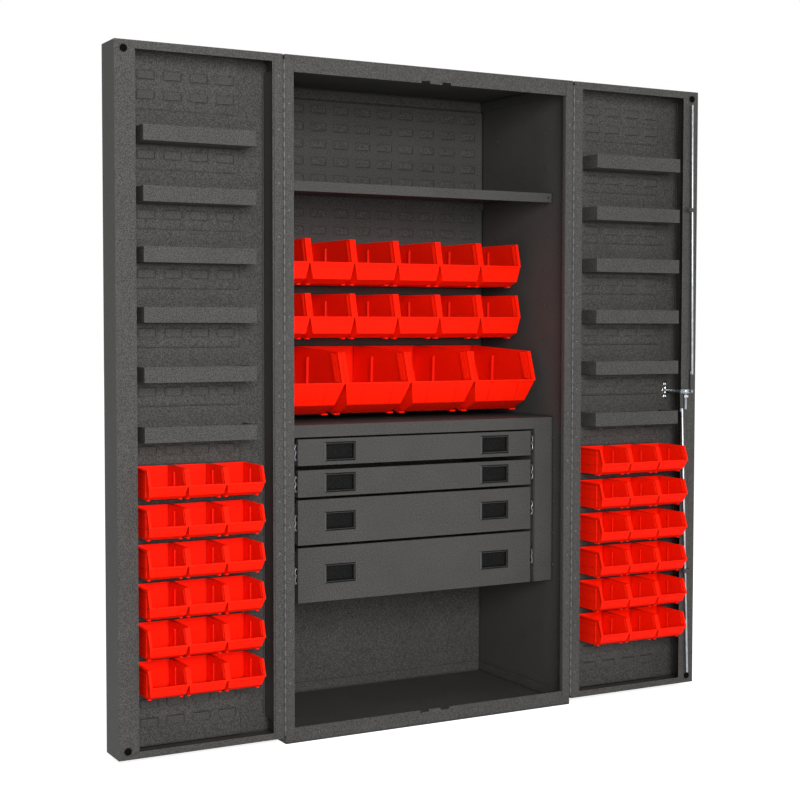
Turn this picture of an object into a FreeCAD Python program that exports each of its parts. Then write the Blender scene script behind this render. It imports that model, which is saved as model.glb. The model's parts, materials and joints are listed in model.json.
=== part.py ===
import FreeCAD, Part
import math
import os
import re
import Sketcher
import PartDesign

# A steel storage cabinet with hung plastic bins, four drawers and two box doors that carry trays and bins.
# Frame: +Z up, +Y towards the back, +X to the right of someone facing the cabinet.
# The origin is the middle of the footprint of the cabinet body, on the floor.
# Both doors are drawn swung open by half a turn, flat beside the body, as when the cabinet is in use.

SIZES = {
    # body
    "cabinet_width": 914.4,
    "cabinet_height": 1828.8,
    "body_depth": 514.4,
    "steel": 1.9,
    "thin_steel": 1.5,
    "post_width": 26,
    "post_return": 14,
    "rear_flange": 22,
    "pan_flange": 32,
    "top_rail": 44.7,
    "bottom_rail": 42,
    "notch_width": 28,
    "notch_depth": 6.5,
    "notch_middle": 33,
    # embossed tabs that carry the shelf clips
    "tab_width": 14,
    "tab_height": 12,
    "tab_rise": 1.5,
    "tab_pitch": 102.3,
    "tab_lowest": 977,
    "tab_rows": 8,
    "tab_front_setback": 146,
    "tab_rear_setback": 414,
    "shelf_tab_row": 5,
    "shelf_above_tab": 21.5,
    # louvers, pressed bridges that are open above and below
    "louver_width": 52,
    "louver_height": 19.5,
    "louver_rise": 4.2,
    "louver_slope": 5,
    "back_louver_across": 74.7,
    "back_louver_down": 51.5,
    "back_louver_first": 1754.7,
    "back_louver_columns": 12,
    "back_louver_rows": 17,
    "back_louver_shift": -11,
    "back_louver_standoff": 9,
    "back_louver_gap": 2,
    "back_louver_bottom": 862,
    "back_louver_top": 1790,
    "door_louver_across": 72.5,
    "door_louver_down": 50.8,
    "door_louver_first": 1749.6,
    "door_louver_columns": 4,
    "door_louver_rows": 34,
    "door_louver_standoff": 7.5,
    "door_panel_width": 292,
    "door_panel_middle": 236,
    "door_panel_end_gap": 2,
    # adjustable shelf and its clips
    "shelf_setback": 102,
    "shelf_flange": 26.7,
    "shelf_hem": 12,
    "shelf_end_gap": 3,
    "shelf_rear_gap": 10,
    "shelf_hole": 2.6,
    "shelf_hole_inset": 12,
    "clip_width": 36,
    "clip_ledge": 18,
    "clip_drop": 34,
    # drawer unit
    "unit_setback": 94,
    "unit_top": 845.8,
    "unit_header": 33.5,
    "unit_bottom": 357,
    "unit_half_width": 392.4,
    "filler_return": 16,
    "slide_space": 12.7,
    "slide_height": 45.7,
    "slide_sheet": 1.2,
    "slide_length": 381,
    "slide_clearance": 0.3,
    "slide_flange_gap": 1.8,
    "slide_setback": 3,
    "drawer_front_depth": 14,
    "drawer_depth": 392,
    "drawer_gap": 8,
    "drawer_upper_gap": 13,
    "drawer_rim_drop": 12,
    "drawer_one_height": 72.5,
    "drawer_two_height": 73.5,
    "drawer_three_height": 124,
    "drawer_four_height": 151,
    "pull_width": 97,
    "pull_height": 53,
    "pull_middle": 251,
    "pull_rim": 5,
    "pull_proud": 1.5,
    "pull_depth": 11,
    "pull_wall": 1.8,
    "pull_clearance": 0.3,
    # bins
    "hanger_drop": 8,
    "hanger_sheet": 1.4,
    "hanger_clearance": 0.3,
    "bin_divider_rib": 4,
    "bin_divider_rise": 2,
    "bin_divider_share": 0.38,
    "bin_rim": 3.5,
    "bin_bead": 1.6,
    "hook_width": 24,
    "small_bin_width": 104.8,
    "small_bin_length": 136.5,
    "small_bin_height": 76.2,
    "small_bin_lip": 35,
    "small_bin_slope": 15,
    "small_bin_chin": 9,
    "small_bin_lean": 12,
    "small_bin_chin_run": 20,
    "small_bin_taper": 6,
    "small_bin_flange": 4.5,
    "small_bin_wall": 1.8,
    "small_bin_rib_drop": 17,
    "small_bin_droop": 0,
    "small_bin_pitch": 105.4,
    "small_bin_rows": 6,
    "small_bin_columns": 3,
    "small_bin_first_row": 20,
    "small_bin_row_step": 2,
    "small_bin_middle": 232,
    "medium_bin_width": 139.7,
    "medium_bin_length": 276.2,
    "medium_bin_height": 127,
    "medium_bin_lip": 61,
    "medium_bin_slope": 17,
    "medium_bin_chin": 13,
    "medium_bin_lean": 4,
    "medium_bin_chin_run": 42,
    "medium_bin_taper": 11,
    "medium_bin_flange": 6.5,
    "medium_bin_wall": 2.2,
    "medium_bin_rib_drop": 25,
    "medium_bin_droop": 0,
    "medium_bin_pitch": 140.5,
    "medium_bin_columns": 6,
    "upper_bin_row": 8,
    "middle_bin_row": 11,
    "large_bin_width": 209.6,
    "large_bin_length": 364,
    "large_bin_height": 177.8,
    "large_bin_lip": 95,
    "large_bin_slope": 32,
    "large_bin_chin": 30,
    "large_bin_lean": 28,
    "large_bin_chin_run": 66,
    "large_bin_taper": 19,
    "large_bin_flange": 8,
    "large_bin_wall": 2.8,
    "large_bin_pitch": 211,
    "large_bin_columns": 4,
    "large_bin_row": 14,
    "large_bin_rib_drop": 31,
    "large_bin_droop": 2.2,
    # doors
    "door_depth": 99.5,
    "door_bottom": 16.5,
    "door_top_gap": 0.3,
    "door_gap": 3,
    "hinge_gap": 5,
    "meeting_gap": 3,
    "free_lip": 54.6,
    "hinge_lip": 30,
    "top_lip": 21,
    "bottom_lip": 18,
    "stiffener_depth": 14,
    "stiffener_near": 30,
    "stiffener_width": 64,
    "stiffener_end": 40,
    "bumper_radius": 9.6,
    "bumper_thickness": 2.7,
    "bumper_from_edge": 24,
    "bumper_from_end": 22,
    # piano hinges
    "hinge_leaf": 25,
    "hinge_sheet": 1.2,
    "hinge_pin": 1.2,
    "hinge_bore_clearance": 0.05,
    "knuckle_radius": 2.2,
    "knuckle_pitch": 12.7,
    "knuckle_gap": 0.3,
    "hinge_end_gap": 8,
    # door trays
    "tray_width": 305,
    "tray_middle": 231.5,
    "tray_lip": 39.3,
    "tray_proud": 6.4,
    "tray_sheet": 1.2,
    "tray_back_inset": 2.5,
    "tray_hook_width": 38,
    "tray_count": 6,
    "tray_row_step": 3,
    "tray_first_row": 2,
    "tray_lip_drop": 47,
    # three-point lock on the right door
    "spindle_from_edge": 39.6,
    "spindle_height": 918,
    "spindle_radius": 4.5,
    "spindle_clearance": 0.05,
    "cam_radius": 20,
    "cam_plate": 3,
    "cam_arm_width": 13,
    "cam_gap": 1.6,
    "stud_radius": 3,
    "tongue_length": 55,
    "tongue_width": 8,
    "rod_radius": 3.8,
    "rod_stand": 9.4,
    "rod_end_from_edge": 29,
    "upper_rod_top": 1788,
    "lower_rod_bottom": 50.5,
    "rod_link_length": 62,
    "rod_link_width": 11,
    "rod_link": 2.4,
    "rod_link_lap": 11.4,
    "stud_play": 0.4,
    "stud_head": 1.2,
    "stud_head_radius": 4.8,
    "stud_clearance": 0.05,
    "guide_reach": 552,
    "guide_height": 12,
    "guide_half_width": 10,
    "guide_sheet": 1.6,
    "guide_foot": 9,
    "guide_clearance": 2,
    "escutcheon_width": 34,
    "escutcheon_height": 92,
    "escutcheon_thickness": 4,
    "handle_gap": 0.4,
    "mount_bolt_spacing": 38,
    "mount_bolt_radius": 3,
    "mount_bolt_clearance": 0.1,
    "mount_nut_radius": 5.5,
    "mount_nut_height": 4.5,
    "handle_hub_radius": 13,
    "handle_hub_height": 16,
    "handle_length": 112,
    "handle_width": 16,
    "handle_thickness": 9,
}

document = FreeCAD.newDocument("BinCabinet")
sheet = document.addObject("Spreadsheet::Sheet", "Sizes")
for line, (alias, amount) in enumerate(SIZES.items(), start=1):
    sheet.set(f"A{line}", alias)
    sheet.set(f"B{line}", str(amount))
    sheet.setAlias(f"B{line}", alias)
document.recompute()

gauge = document.addObject("Part::Vertex", "Gauge")
subparts = []


def bound(expression):
    """The expression with every size name pointed at its cell."""
    def cell(word):
        return "Sizes." + word[0] if word[0] in SIZES else word[0]

    return re.sub(r"[a-z][a-z_]*", cell, str(expression))


def number(expression):
    """The value of an expression of sizes, in millimetres."""
    gauge.setExpression("X", bound(expression))
    gauge.recompute()
    return gauge.X.Value


def flip(span, side):
    """A span (low, high) along X, mirrored to the left side when side is -1."""
    low, high = span
    return (low, high) if side > 0 else (f"-({high})", f"-({low})")


def keep(thing, label):
    """Name a finished sub-part, which is written to its own file."""
    thing.Label = label
    subparts.append(thing)
    return thing


def block(x, y, z, side=1):
    """A box between three spans of expressions."""
    box = document.addObject("Part::Box", "Block")
    spans = {"x": flip(x, side), "y": y, "z": z}
    for length, axis in (("Length", "x"), ("Width", "y"), ("Height", "z")):
        low, high = spans[axis]
        box.setExpression(length, bound(f"({high}) - ({low})"))
        box.setExpression(f"Placement.Base.{axis}", bound(low))
    return box


TURNS = {"x": ((0, 1, 0), 90), "y": ((1, 0, 0), -90), "z": ((0, 0, 1), 0)}


def cylinder(x, y, z, radius, length, along="z"):
    """A cylinder that starts at a point and runs along +X, +Y or +Z."""
    round_bar = document.addObject("Part::Cylinder", "Round")
    axis, angle = TURNS[along]
    turn = FreeCAD.Rotation(FreeCAD.Vector(*axis), angle)
    round_bar.Placement = FreeCAD.Placement(FreeCAD.Vector(), turn)
    round_bar.setExpression("Radius", bound(radius))
    round_bar.setExpression("Height", bound(length))
    for letter, place in (("x", x), ("y", y), ("z", z)):
        round_bar.setExpression(f"Placement.Base.{letter}", bound(place))
    return round_bar


def joined(things):
    fusion = document.addObject("Part::MultiFuse", "Joined")
    fusion.Shapes = things
    fusion.Refine = True
    return fusion


def carved(base, tools):
    cut = document.addObject("Part::Cut", "Carved")
    cut.Base = base
    cut.Tool = tools[0] if len(tools) == 1 else joined(tools)
    cut.Refine = True
    return cut


PLANES = {"XY": "XY_Plane", "XZ": "XZ_Plane", "YZ": "YZ_Plane"}


def folded(plane, corners, length, start):
    """A body made from an outline on an origin plane, padded along the normal of the plane from start."""
    body = document.addObject("PartDesign::Body", "Folded")
    sketch = body.newObject("Sketcher::SketchObject", "Outline")
    origin_plane = [datum for datum in body.Origin.OriginFeatures if datum.Role == PLANES[plane]][0]
    sketch.AttachmentSupport = [(origin_plane, "")]
    sketch.MapMode = "FlatFace"
    points = [FreeCAD.Vector(number(a), number(b), 0) for a, b in corners]
    for place, point in enumerate(points):
        sketch.addGeometry(Part.LineSegment(point, points[(place + 1) % len(points)]))
    for place in range(len(points)):
        sketch.addConstraint(Sketcher.Constraint("Coincident", place, 2, (place + 1) % len(points), 1))
    for place, corner in enumerate(corners):
        for kind, amount in zip(("DistanceX", "DistanceY"), corner):
            datum = sketch.addConstraint(Sketcher.Constraint(kind, place, 1, number(amount)))
            sketch.setExpression(f"Constraints[{datum}]", bound(amount))
    pad = body.newObject("PartDesign::Pad", "Sheet")
    pad.Profile = sketch
    pad.setExpression("Length", bound(length))
    letter = {"XY": "z", "XZ": "y", "YZ": "x"}[plane]
    if plane == "XZ":
        pad.Reversed = True
    body.setExpression(f"Placement.Base.{letter}", bound(start))
    return body


def mirrored(thing):
    """The same piece on the left side of the cabinet."""
    mirror = document.addObject("Part::Mirroring", "Mirrored")
    mirror.Source = thing
    mirror.Base = (0, 0, 0)
    mirror.Normal = (1, 0, 0)
    return mirror


def formed(shape):
    """A piece whose shape is made directly from the sizes."""
    feature = document.addObject("Part::Feature", "Formed")
    feature.Shape = shape
    return feature


def gathered(things):
    """Separate pieces of one kind that share a name."""
    group = document.addObject("Part::Compound", "Gathered")
    group.Links = things
    return group


# Shared places, as expressions. FRONT and BACK are the outer planes of the body.
FRONT = "(-body_depth / 2)"
BACK = "(body_depth / 2)"
HALF = "(cabinet_width / 2)"
INSIDE = f"({HALF} - steel)"
BACK_FACE = f"({BACK} - steel - thin_steel)"
BACK_LOUVER_FACE = f"({BACK_FACE} - back_louver_standoff)"
PIVOT_X = f"({HALF} + hinge_gap / 2)"
PIVOT_Y = f"({FRONT} - door_gap / 2)"
DOOR_IN = f"({HALF} + hinge_gap)"
DOOR_OUT = f"({DOOR_IN} + {HALF} - meeting_gap / 2)"
DOOR_SKIN = f"({FRONT} + door_depth)"
DOOR_LOUVER_FACE = f"({DOOR_SKIN} - steel - door_louver_standoff)"
DOOR_TOP = "(cabinet_height - door_top_gap)"
SHELF_TOP = "(tab_lowest + tab_pitch * shelf_tab_row + shelf_above_tab)"
UNIT_FRONT = f"({FRONT} + unit_setback)"
UNIT_INSIDE = "(unit_half_width - steel)"


def side_panel():
    """The right side, folded into a front post and a rear flange, with two columns of shelf tabs."""
    post_edge = f"{HALF} - post_width"
    wall = folded(
        "XY",
        [
            (HALF, FRONT),
            (HALF, BACK),
            (f"{HALF} - rear_flange", BACK),
            (f"{HALF} - rear_flange", f"{BACK} - steel"),
            (INSIDE, f"{BACK} - steel"),
            (INSIDE, f"{FRONT} + steel"),
            (f"{post_edge} + steel", f"{FRONT} + steel"),
            (f"{post_edge} + steel", f"{FRONT} + post_return"),
            (post_edge, f"{FRONT} + post_return"),
            (post_edge, FRONT),
        ],
        "cabinet_height - 2 * steel",
        "steel",
    )
    tabs = []
    for setback in ("tab_front_setback", "tab_rear_setback"):
        for row in range(int(number("tab_rows"))):
            middle = f"(tab_lowest + tab_pitch * {row})"
            tabs.append(
                block(
                    (f"{INSIDE} - tab_rise", INSIDE),
                    (f"{FRONT} + {setback} - tab_width / 2", f"{FRONT} + {setback} + tab_width / 2"),
                    (f"{middle} - tab_height / 2", f"{middle} + tab_height / 2"),
                )
            )
    return joined([wall] + tabs)


def pan(plate, flanges, rail, notches):
    """A top or floor pan: a plate over the footprint, a front rail between the posts and three flanges."""
    rail_end = f"{HALF} - post_width"
    flange_end = f"{BACK_FACE}"
    flange_start = f"{FRONT} + post_return"
    pieces = [
        block((f"-{HALF}", HALF), (FRONT, BACK), plate),
        block((f"-({rail_end})", rail_end), (FRONT, f"{FRONT} + steel"), rail),
        block((f"-{INSIDE}", INSIDE), (f"{flange_end} - steel", flange_end), flanges),
        block((f"{INSIDE} - steel", INSIDE), (flange_start, flange_end), flanges),
        block((f"-{INSIDE}", f"-{INSIDE} + steel"), (flange_start, flange_end), flanges),
    ]
    cuts = [
        block(
            (f"{middle} - notch_width / 2", f"{middle} + notch_width / 2"),
            (f"{FRONT} - steel", f"{FRONT} + 2 * steel"),
            notches,
        )
        for middle in ("notch_middle", "-notch_middle")
    ]
    return carved(joined(pieces), cuts)


def louver_sheet(middle, width, low, high, face, standoff, columns, rows, down, first):
    """A flanged sheet with rows of louvers pressed out of its front. All arguments are numbers."""
    thick = number("thin_steel")
    rise = number("louver_rise")
    slope = number("louver_slope")
    half = number("louver_width") / 2
    tall = number("louver_height")
    slant = thick * math.hypot(slope, rise) / rise
    root = half + slope * thick / rise - slant
    crown = half - slope * (rise - thick) / rise - slant
    strap_outline = [
        (-half, 0), (-half + slope, -rise), (half - slope, -rise), (half, 0), (half, thick),
        (root, thick), (crown, thick - rise), (-crown, thick - rise), (-root, thick), (-half, thick),
    ]
    corners = [FreeCAD.Vector(x, y, 0) for x, y in strap_outline]
    strap = Part.Face(Part.makePolygon(corners + corners[:1])).extrude(FreeCAD.Vector(0, 0, tall))
    hole = Part.makeBox(2 * root, 3 * thick, tall, FreeCAD.Vector(-root, -thick, 0))
    straps = []
    holes = []
    for x in columns:
        for row in range(rows):
            place = FreeCAD.Vector(x, face, first - down * row)
            straps.append(strap.translated(place))
            holes.append(hole.translated(place))
    outer = Part.makeBox(width, standoff, high - low, FreeCAD.Vector(middle - width / 2, face, low))
    hollow = Part.makeBox(
        width - 2 * thick, standoff, high - low - 2 * thick,
        FreeCAD.Vector(middle - width / 2 + thick, face + thick, low + thick),
    )
    plate = outer.cut(hollow).cut(Part.makeCompound(holes))
    return plate.multiFuse(straps).removeSplitter()


def shelf():
    """The adjustable shelf, with a flange at the front and the back and a hole at each end of its front."""
    near = f"({FRONT} + shelf_setback)"
    far = f"({BACK_LOUVER_FACE} - shelf_rear_gap)"
    end = f"({INSIDE} - shelf_end_gap)"
    low = f"{SHELF_TOP} - shelf_flange"
    plate = block((f"-{end}", end), (near, far), (f"{SHELF_TOP} - thin_steel", SHELF_TOP))
    front = block((f"-{end}", end), (near, f"{near} + thin_steel"), (low, SHELF_TOP))
    hem = block((f"-{end}", end), (near, f"{near} + shelf_hem"), (low, f"{low} + thin_steel"))
    rear = block((f"-{end}", end), (f"{far} - thin_steel", far), (low, SHELF_TOP))
    holes = [
        cylinder(
            f"{sign}({end} - shelf_hole_inset)", f"{near} - thin_steel", f"{SHELF_TOP} - shelf_flange / 2",
            "shelf_hole", "3 * thin_steel", "y",
        )
        for sign in ("", "-")
    ]
    return carved(joined([plate, front, hem, rear]), holes)


def shelf_clip(setback):
    """A bent clip with a window that fits round a tab and a ledge under the shelf."""
    middle = f"({FRONT} + {setback})"
    tab = "(tab_lowest + tab_pitch * shelf_tab_row)"
    top = f"({SHELF_TOP} - thin_steel)"
    across = (f"{middle} - clip_width / 2", f"{middle} + clip_width / 2")
    plate = block((f"{INSIDE} - thin_steel", INSIDE), across, (f"{top} - clip_drop", top))
    ledge = block((f"{INSIDE} - clip_ledge", INSIDE), across, (f"{top} - thin_steel", top))
    window = block(
        (f"{INSIDE} - 2 * thin_steel", f"{INSIDE} + thin_steel"),
        (f"{middle} - tab_width / 2 - hanger_clearance", f"{middle} + tab_width / 2 + hanger_clearance"),
        (f"{tab} - tab_height / 2 - hanger_clearance", f"{tab} + tab_height / 2 + hanger_clearance"),
    )
    return carved(joined([plate, ledge]), [window])


def drawer_unit_top():
    """The plate over the drawers and its front header."""
    plate = block((f"-{INSIDE}", INSIDE), (UNIT_FRONT, BACK_FACE), ("unit_top - steel", "unit_top"))
    header = block(
        ("-unit_half_width", "unit_half_width"),
        (UNIT_FRONT, f"{UNIT_FRONT} + steel"),
        ("unit_top - unit_header", "unit_top"),
    )
    return joined([plate, header])


def drawer_unit_wall():
    """The right wall of the drawer unit, with a flange on the back panel."""
    wall = folded(
        "XY",
        [
            (UNIT_INSIDE, f"{UNIT_FRONT} + steel"),
            ("unit_half_width", f"{UNIT_FRONT} + steel"),
            ("unit_half_width", f"{BACK_FACE} - steel"),
            ("unit_half_width + rear_flange", f"{BACK_FACE} - steel"),
            ("unit_half_width + rear_flange", BACK_FACE),
            (UNIT_INSIDE, BACK_FACE),
        ],
        "unit_top - steel - unit_bottom",
        "unit_bottom",
    )
    return wall


def front_filler():
    """The strip that closes the gap between the drawer unit and the side, folded back along both."""
    return folded(
        "XY",
        [
            ("unit_half_width", UNIT_FRONT),
            (INSIDE, UNIT_FRONT),
            (INSIDE, f"{UNIT_FRONT} + filler_return"),
            (f"{INSIDE} - steel", f"{UNIT_FRONT} + filler_return"),
            (f"{INSIDE} - steel", f"{UNIT_FRONT} + steel"),
            ("unit_half_width + steel", f"{UNIT_FRONT} + steel"),
            ("unit_half_width + steel", f"{UNIT_FRONT} + filler_return"),
            ("unit_half_width", f"{UNIT_FRONT} + filler_return"),
        ],
        "unit_top - steel - unit_bottom",
        "unit_bottom",
    )


def channel(web, flange_end, half_height, middle):
    """One member of a slide, a channel along Y. Its flanges run from the web, a span, to flange_end."""
    near, far = web
    return folded(
        "XZ",
        [
            (far, f"{middle} - {half_height}"),
            (far, f"{middle} + {half_height}"),
            (flange_end, f"{middle} + {half_height}"),
            (flange_end, f"{middle} + {half_height} - slide_sheet"),
            (near, f"{middle} + {half_height} - slide_sheet"),
            (near, f"{middle} - {half_height} + slide_sheet"),
            (flange_end, f"{middle} - {half_height} + slide_sheet"),
            (flange_end, f"{middle} - {half_height}"),
        ],
        "slide_length",
        f"{UNIT_FRONT} + slide_setback",
    )


OUTER_HALF = "(slide_height / 2)"
MIDDLE_HALF = f"({OUTER_HALF} - slide_sheet - slide_clearance)"
INNER_HALF = f"({MIDDLE_HALF} - slide_sheet - slide_clearance)"
TRAY_SIDE = f"({UNIT_INSIDE} - slide_space)"
WEB_GAP = "(2 * slide_clearance)"


def outer_member(middle):
    web = (f"{UNIT_INSIDE} - slide_sheet", UNIT_INSIDE)
    return channel(web, f"{TRAY_SIDE} + slide_sheet + slide_flange_gap", OUTER_HALF, middle)


def middle_member(middle):
    web_far = f"({UNIT_INSIDE} - slide_sheet - {WEB_GAP})"
    web = (f"{web_far} - slide_sheet", web_far)
    return channel(web, f"{TRAY_SIDE} + slide_sheet + {WEB_GAP}", MIDDLE_HALF, middle)


def inner_member(middle):
    flange_end = f"({UNIT_INSIDE} - 2 * slide_sheet - 2 * {WEB_GAP})"
    return channel((f"{TRAY_SIDE} + slide_sheet", TRAY_SIDE), flange_end, INNER_HALF, middle)


def drawer(low, high):
    """A tray behind a folded front that has two holes for its pulls."""
    face_back = f"({UNIT_FRONT} + drawer_front_depth)"
    across = (f"-{TRAY_SIDE}", TRAY_SIDE)
    front = block(across, (UNIT_FRONT, face_back), (low, high))
    front_hollow = block(
        (f"-{TRAY_SIDE} + steel", f"{TRAY_SIDE} - steel"),
        (f"{UNIT_FRONT} + steel", face_back),
        (f"{low} + steel", f"{high} - steel"),
    )
    tray = block(
        across,
        (f"{face_back} - thin_steel", f"{UNIT_FRONT} + drawer_depth"),
        (f"{low} + steel", f"{high} - drawer_rim_drop"),
    )
    tray_hollow = block(
        (f"-{TRAY_SIDE} + thin_steel", f"{TRAY_SIDE} - thin_steel"),
        (face_back, f"{UNIT_FRONT} + drawer_depth - thin_steel"),
        (f"{low} + steel + thin_steel", f"{high}"),
    )
    level = f"({low} + {high}) / 2"
    holes = [
        block(
            (f"{middle} - pull_width / 2 + pull_rim", f"{middle} + pull_width / 2 - pull_rim"),
            (f"{UNIT_FRONT} - steel", f"{UNIT_FRONT} + 2 * steel"),
            (f"{level} - pull_height / 2 + pull_rim", f"{level} + pull_height / 2 - pull_rim"),
        )
        for middle in ("pull_middle", "-pull_middle")
    ]
    return joined([carved(front, [front_hollow] + holes), carved(tray, [tray_hollow])])


def pull(middle, low, high):
    """A recessed pull: a rim that lies on the drawer front and a cup behind it."""
    level = f"(({low} + {high}) / 2)"
    cup_across = "(pull_width / 2 - pull_rim - pull_clearance)"
    cup_up = "(pull_height / 2 - pull_rim - pull_clearance)"

    def about(centre, reach):
        return (f"{centre} - {reach}", f"{centre} + {reach}")

    rim = block(
        about(middle, "pull_width / 2"),
        (f"{UNIT_FRONT} - pull_proud", UNIT_FRONT),
        about(level, "pull_height / 2"),
    )
    cup = block(about(middle, cup_across), (UNIT_FRONT, f"{UNIT_FRONT} + pull_depth"), about(level, cup_up))
    hollow = block(
        about(middle, f"({cup_across} - pull_wall)"),
        (f"{UNIT_FRONT} - 2 * pull_proud", f"{UNIT_FRONT} + pull_depth - pull_wall"),
        about(level, f"({cup_up} - pull_wall)"),
    )
    return carved(joined([rim, cup]), [hollow])


def half_space(point, outward, reach):
    """A large box that stands on the plane through a point, on the side that outward points to."""
    box = Part.makeBox(reach, reach, reach, FreeCAD.Vector(-reach / 2, -reach / 2, 0))
    box.Placement = FreeCAD.Placement(point, FreeCAD.Rotation(FreeCAD.Vector(0, 0, 1), outward))
    return box


def side_extrusion(outline, low, high):
    """A solid from an outline of (y, z) corners, extruded from x low to x high."""
    corners = [FreeCAD.Vector(low, y, z) for y, z in outline]
    return Part.Face(Part.makePolygon(corners + corners[:1])).extrude(FreeCAD.Vector(high - low, 0, 0))


BIN_SIZES = (
    "width", "length", "height", "lip", "slope", "chin", "lean", "chin_run", "taper", "flange", "wall",
    "rib_drop",
)


def bin_walls(size):
    """A hopper-front bin, in millimetres. Its rear top edge is the origin and it opens towards -Y."""
    given = {name: number(f"{size}_bin_{name}") for name in BIN_SIZES}
    droop = math.radians(number(f"{size}_bin_droop"))
    width, length, height, wall = (given[name] for name in ("width", "length", "height", "wall"))
    rim = number("bin_rim")
    bead = number("bin_bead")
    half = width / 2 - given["flange"]
    front = bead - length
    lip = given["lip"] - height
    chin = given["chin"] - height
    chin_top = front + given["lean"]
    chin_end = chin_top + given["chin_run"]
    draft = height * math.tan(droop)
    slant = math.hypot(given["chin"], given["chin_run"])
    inner_chin = (chin_top + wall, chin + wall * (slant - given["chin"]) / given["chin_run"])
    tub = side_extrusion(
        [
            (0, 0), (front + given["slope"], 0), (front, lip), (chin_top, chin),
            (chin_end, -height), (-draft, -height),
        ],
        -half, half,
    )
    face_outline = [(front, lip), (chin_top, chin), inner_chin, (front + wall, lip)]
    face = side_extrusion(face_outline, -width / 2, width / 2)
    outer = tub.fuse(face)
    hollow = side_extrusion(
        [
            (-wall, height), (front - length, height), (front - length, lip), (front + wall, lip),
            inner_chin,
            (chin_end + wall * (slant - given["chin_run"]) / given["chin"], wall - height),
            (-draft - wall, wall - height),
        ],
        wall - half, half - wall,
    )
    reach = 4 * length
    for side in (1, -1):
        corner = FreeCAD.Vector(side * width / 2, front, lip)
        low_corner = FreeCAD.Vector(side * (width / 2 - given["taper"]), chin_top, chin)
        rear_corner = FreeCAD.Vector(side * half, front + length / 2, -height)
        outward = (rear_corner - corner).cross(low_corner - corner).normalize()
        if outward.x * side < 0:
            outward = outward * -1
        outer = outer.cut(half_space(corner, outward, reach))
        hollow = hollow.cut(half_space(corner - outward * wall, outward, reach))
    pieces = [Part.makeBox(width, bead + wall, rim, FreeCAD.Vector(-width / 2, -length, lip - rim))]
    band = [
        (0, 0), (given["slope"] - length, 0), (-length, lip),
        (rim + bead - length, lip), (given["slope"] + rim - length, -rim), (0, -rim),
    ]
    rib = number("bin_divider_rib")
    rib_rise = number("bin_divider_rise")
    rib_start = -number("bin_divider_share") * length - rib / 2
    for side in (1, -1):
        low, high = sorted((side * (half - wall), side * width / 2))
        pieces.append(side_extrusion(band, low, high))
        low, high = sorted((side * (half - wall - rib_rise), side * (half - wall / 2)))
        place = FreeCAD.Vector(low, rib_start, wall / 2 - height)
        pieces.append(Part.makeBox(high - low, rib, height - wall / 2 - given["rib_drop"], place))
    return outer.cut(hollow).multiFuse(pieces)


def hooks(middle, span, width, columns):
    """Hooks for a piece that hangs on louvers. The rear top edge of the piece is at y = 0, z = 0."""
    sheet = number("hanger_sheet")
    clearance = number("hanger_clearance")
    behind = clearance + number("thin_steel") + clearance
    drop = number("hanger_drop")
    pieces = []
    for column in columns:
        start = column - middle - width / 2
        if abs(column - middle) + width / 2 < span / 2:
            bridge = FreeCAD.Vector(start, -sheet, -sheet)
            pieces.append(Part.makeBox(width, behind + 2 * sheet, sheet, bridge))
            pieces.append(Part.makeBox(width, sheet, drop, FreeCAD.Vector(start, behind, -drop)))
    return pieces


def louver_columns(place, middle):
    """Middles of the louver columns of the back panel or of a door."""
    count = int(number(f"{place}_louver_columns"))
    across = number(f"{place}_louver_across")
    return [middle + across * (column - (count - 1) / 2) for column in range(count)]


def strap_top(place, row):
    """Height of the top edge of one row of louvers."""
    return number(f"{place}_louver_first - {place}_louver_down * ({row}) + louver_height")


def bin_row(size, place, row, middle, count, face, columns):
    """A row of bins of one size, hung on one row of louvers."""
    walls = bin_walls(size)
    width = number(f"{size}_bin_width")
    turn = FreeCAD.Rotation(FreeCAD.Vector(1, 0, 0), number(f"{size}_bin_droop"))
    level = strap_top(place, row) + number("hanger_sheet")
    back = face - number("louver_rise + hanger_clearance")
    row_of_bins = []
    for order in range(count):
        x = middle + number(f"{size}_bin_pitch") * (order - (count - 1) / 2)
        hung = walls.multiFuse(hooks(x, width, number("hook_width"), columns)).removeSplitter()
        hung.Placement = FreeCAD.Placement(FreeCAD.Vector(x, back, level), turn)
        row_of_bins.append(hung)
    return row_of_bins


def door_shell():
    """The right door, a box of folded steel: its skin at the back, lips round the opening at the front."""
    outside = block((DOOR_IN, DOOR_OUT), (FRONT, DOOR_SKIN), ("door_bottom", DOOR_TOP))
    hollow = block(
        (f"{DOOR_IN} + steel", f"{DOOR_OUT} - steel"),
        (f"{FRONT} + steel", f"{DOOR_SKIN} - steel"),
        ("door_bottom + steel", f"{DOOR_TOP} - steel"),
    )
    opening = block(
        (f"{DOOR_IN} + hinge_lip", f"{DOOR_OUT} - free_lip"),
        (f"{FRONT} - steel", f"{FRONT} + 2 * steel"),
        ("door_bottom + bottom_lip", f"{DOOR_TOP} - top_lip"),
    )
    return carved(outside, [hollow, opening])


SPINDLE_X = f"({DOOR_OUT} - spindle_from_edge)"


def lock_holes():
    """Holes in the right door for the spindle and for the bolts that hold the outside plate."""
    through = cylinder(
        SPINDLE_X, f"{FRONT} - steel", "spindle_height",
        "spindle_radius + spindle_clearance", "door_depth + 2 * steel", "y",
    )
    bolts = [
        cylinder(
            SPINDLE_X, f"{DOOR_SKIN} - 2 * steel", f"spindle_height + {side} * mount_bolt_spacing / 2",
            "mount_bolt_radius + mount_bolt_clearance", "3 * steel", "y",
        )
        for side in (1, -1)
    ]
    return [through] + bolts


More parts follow.
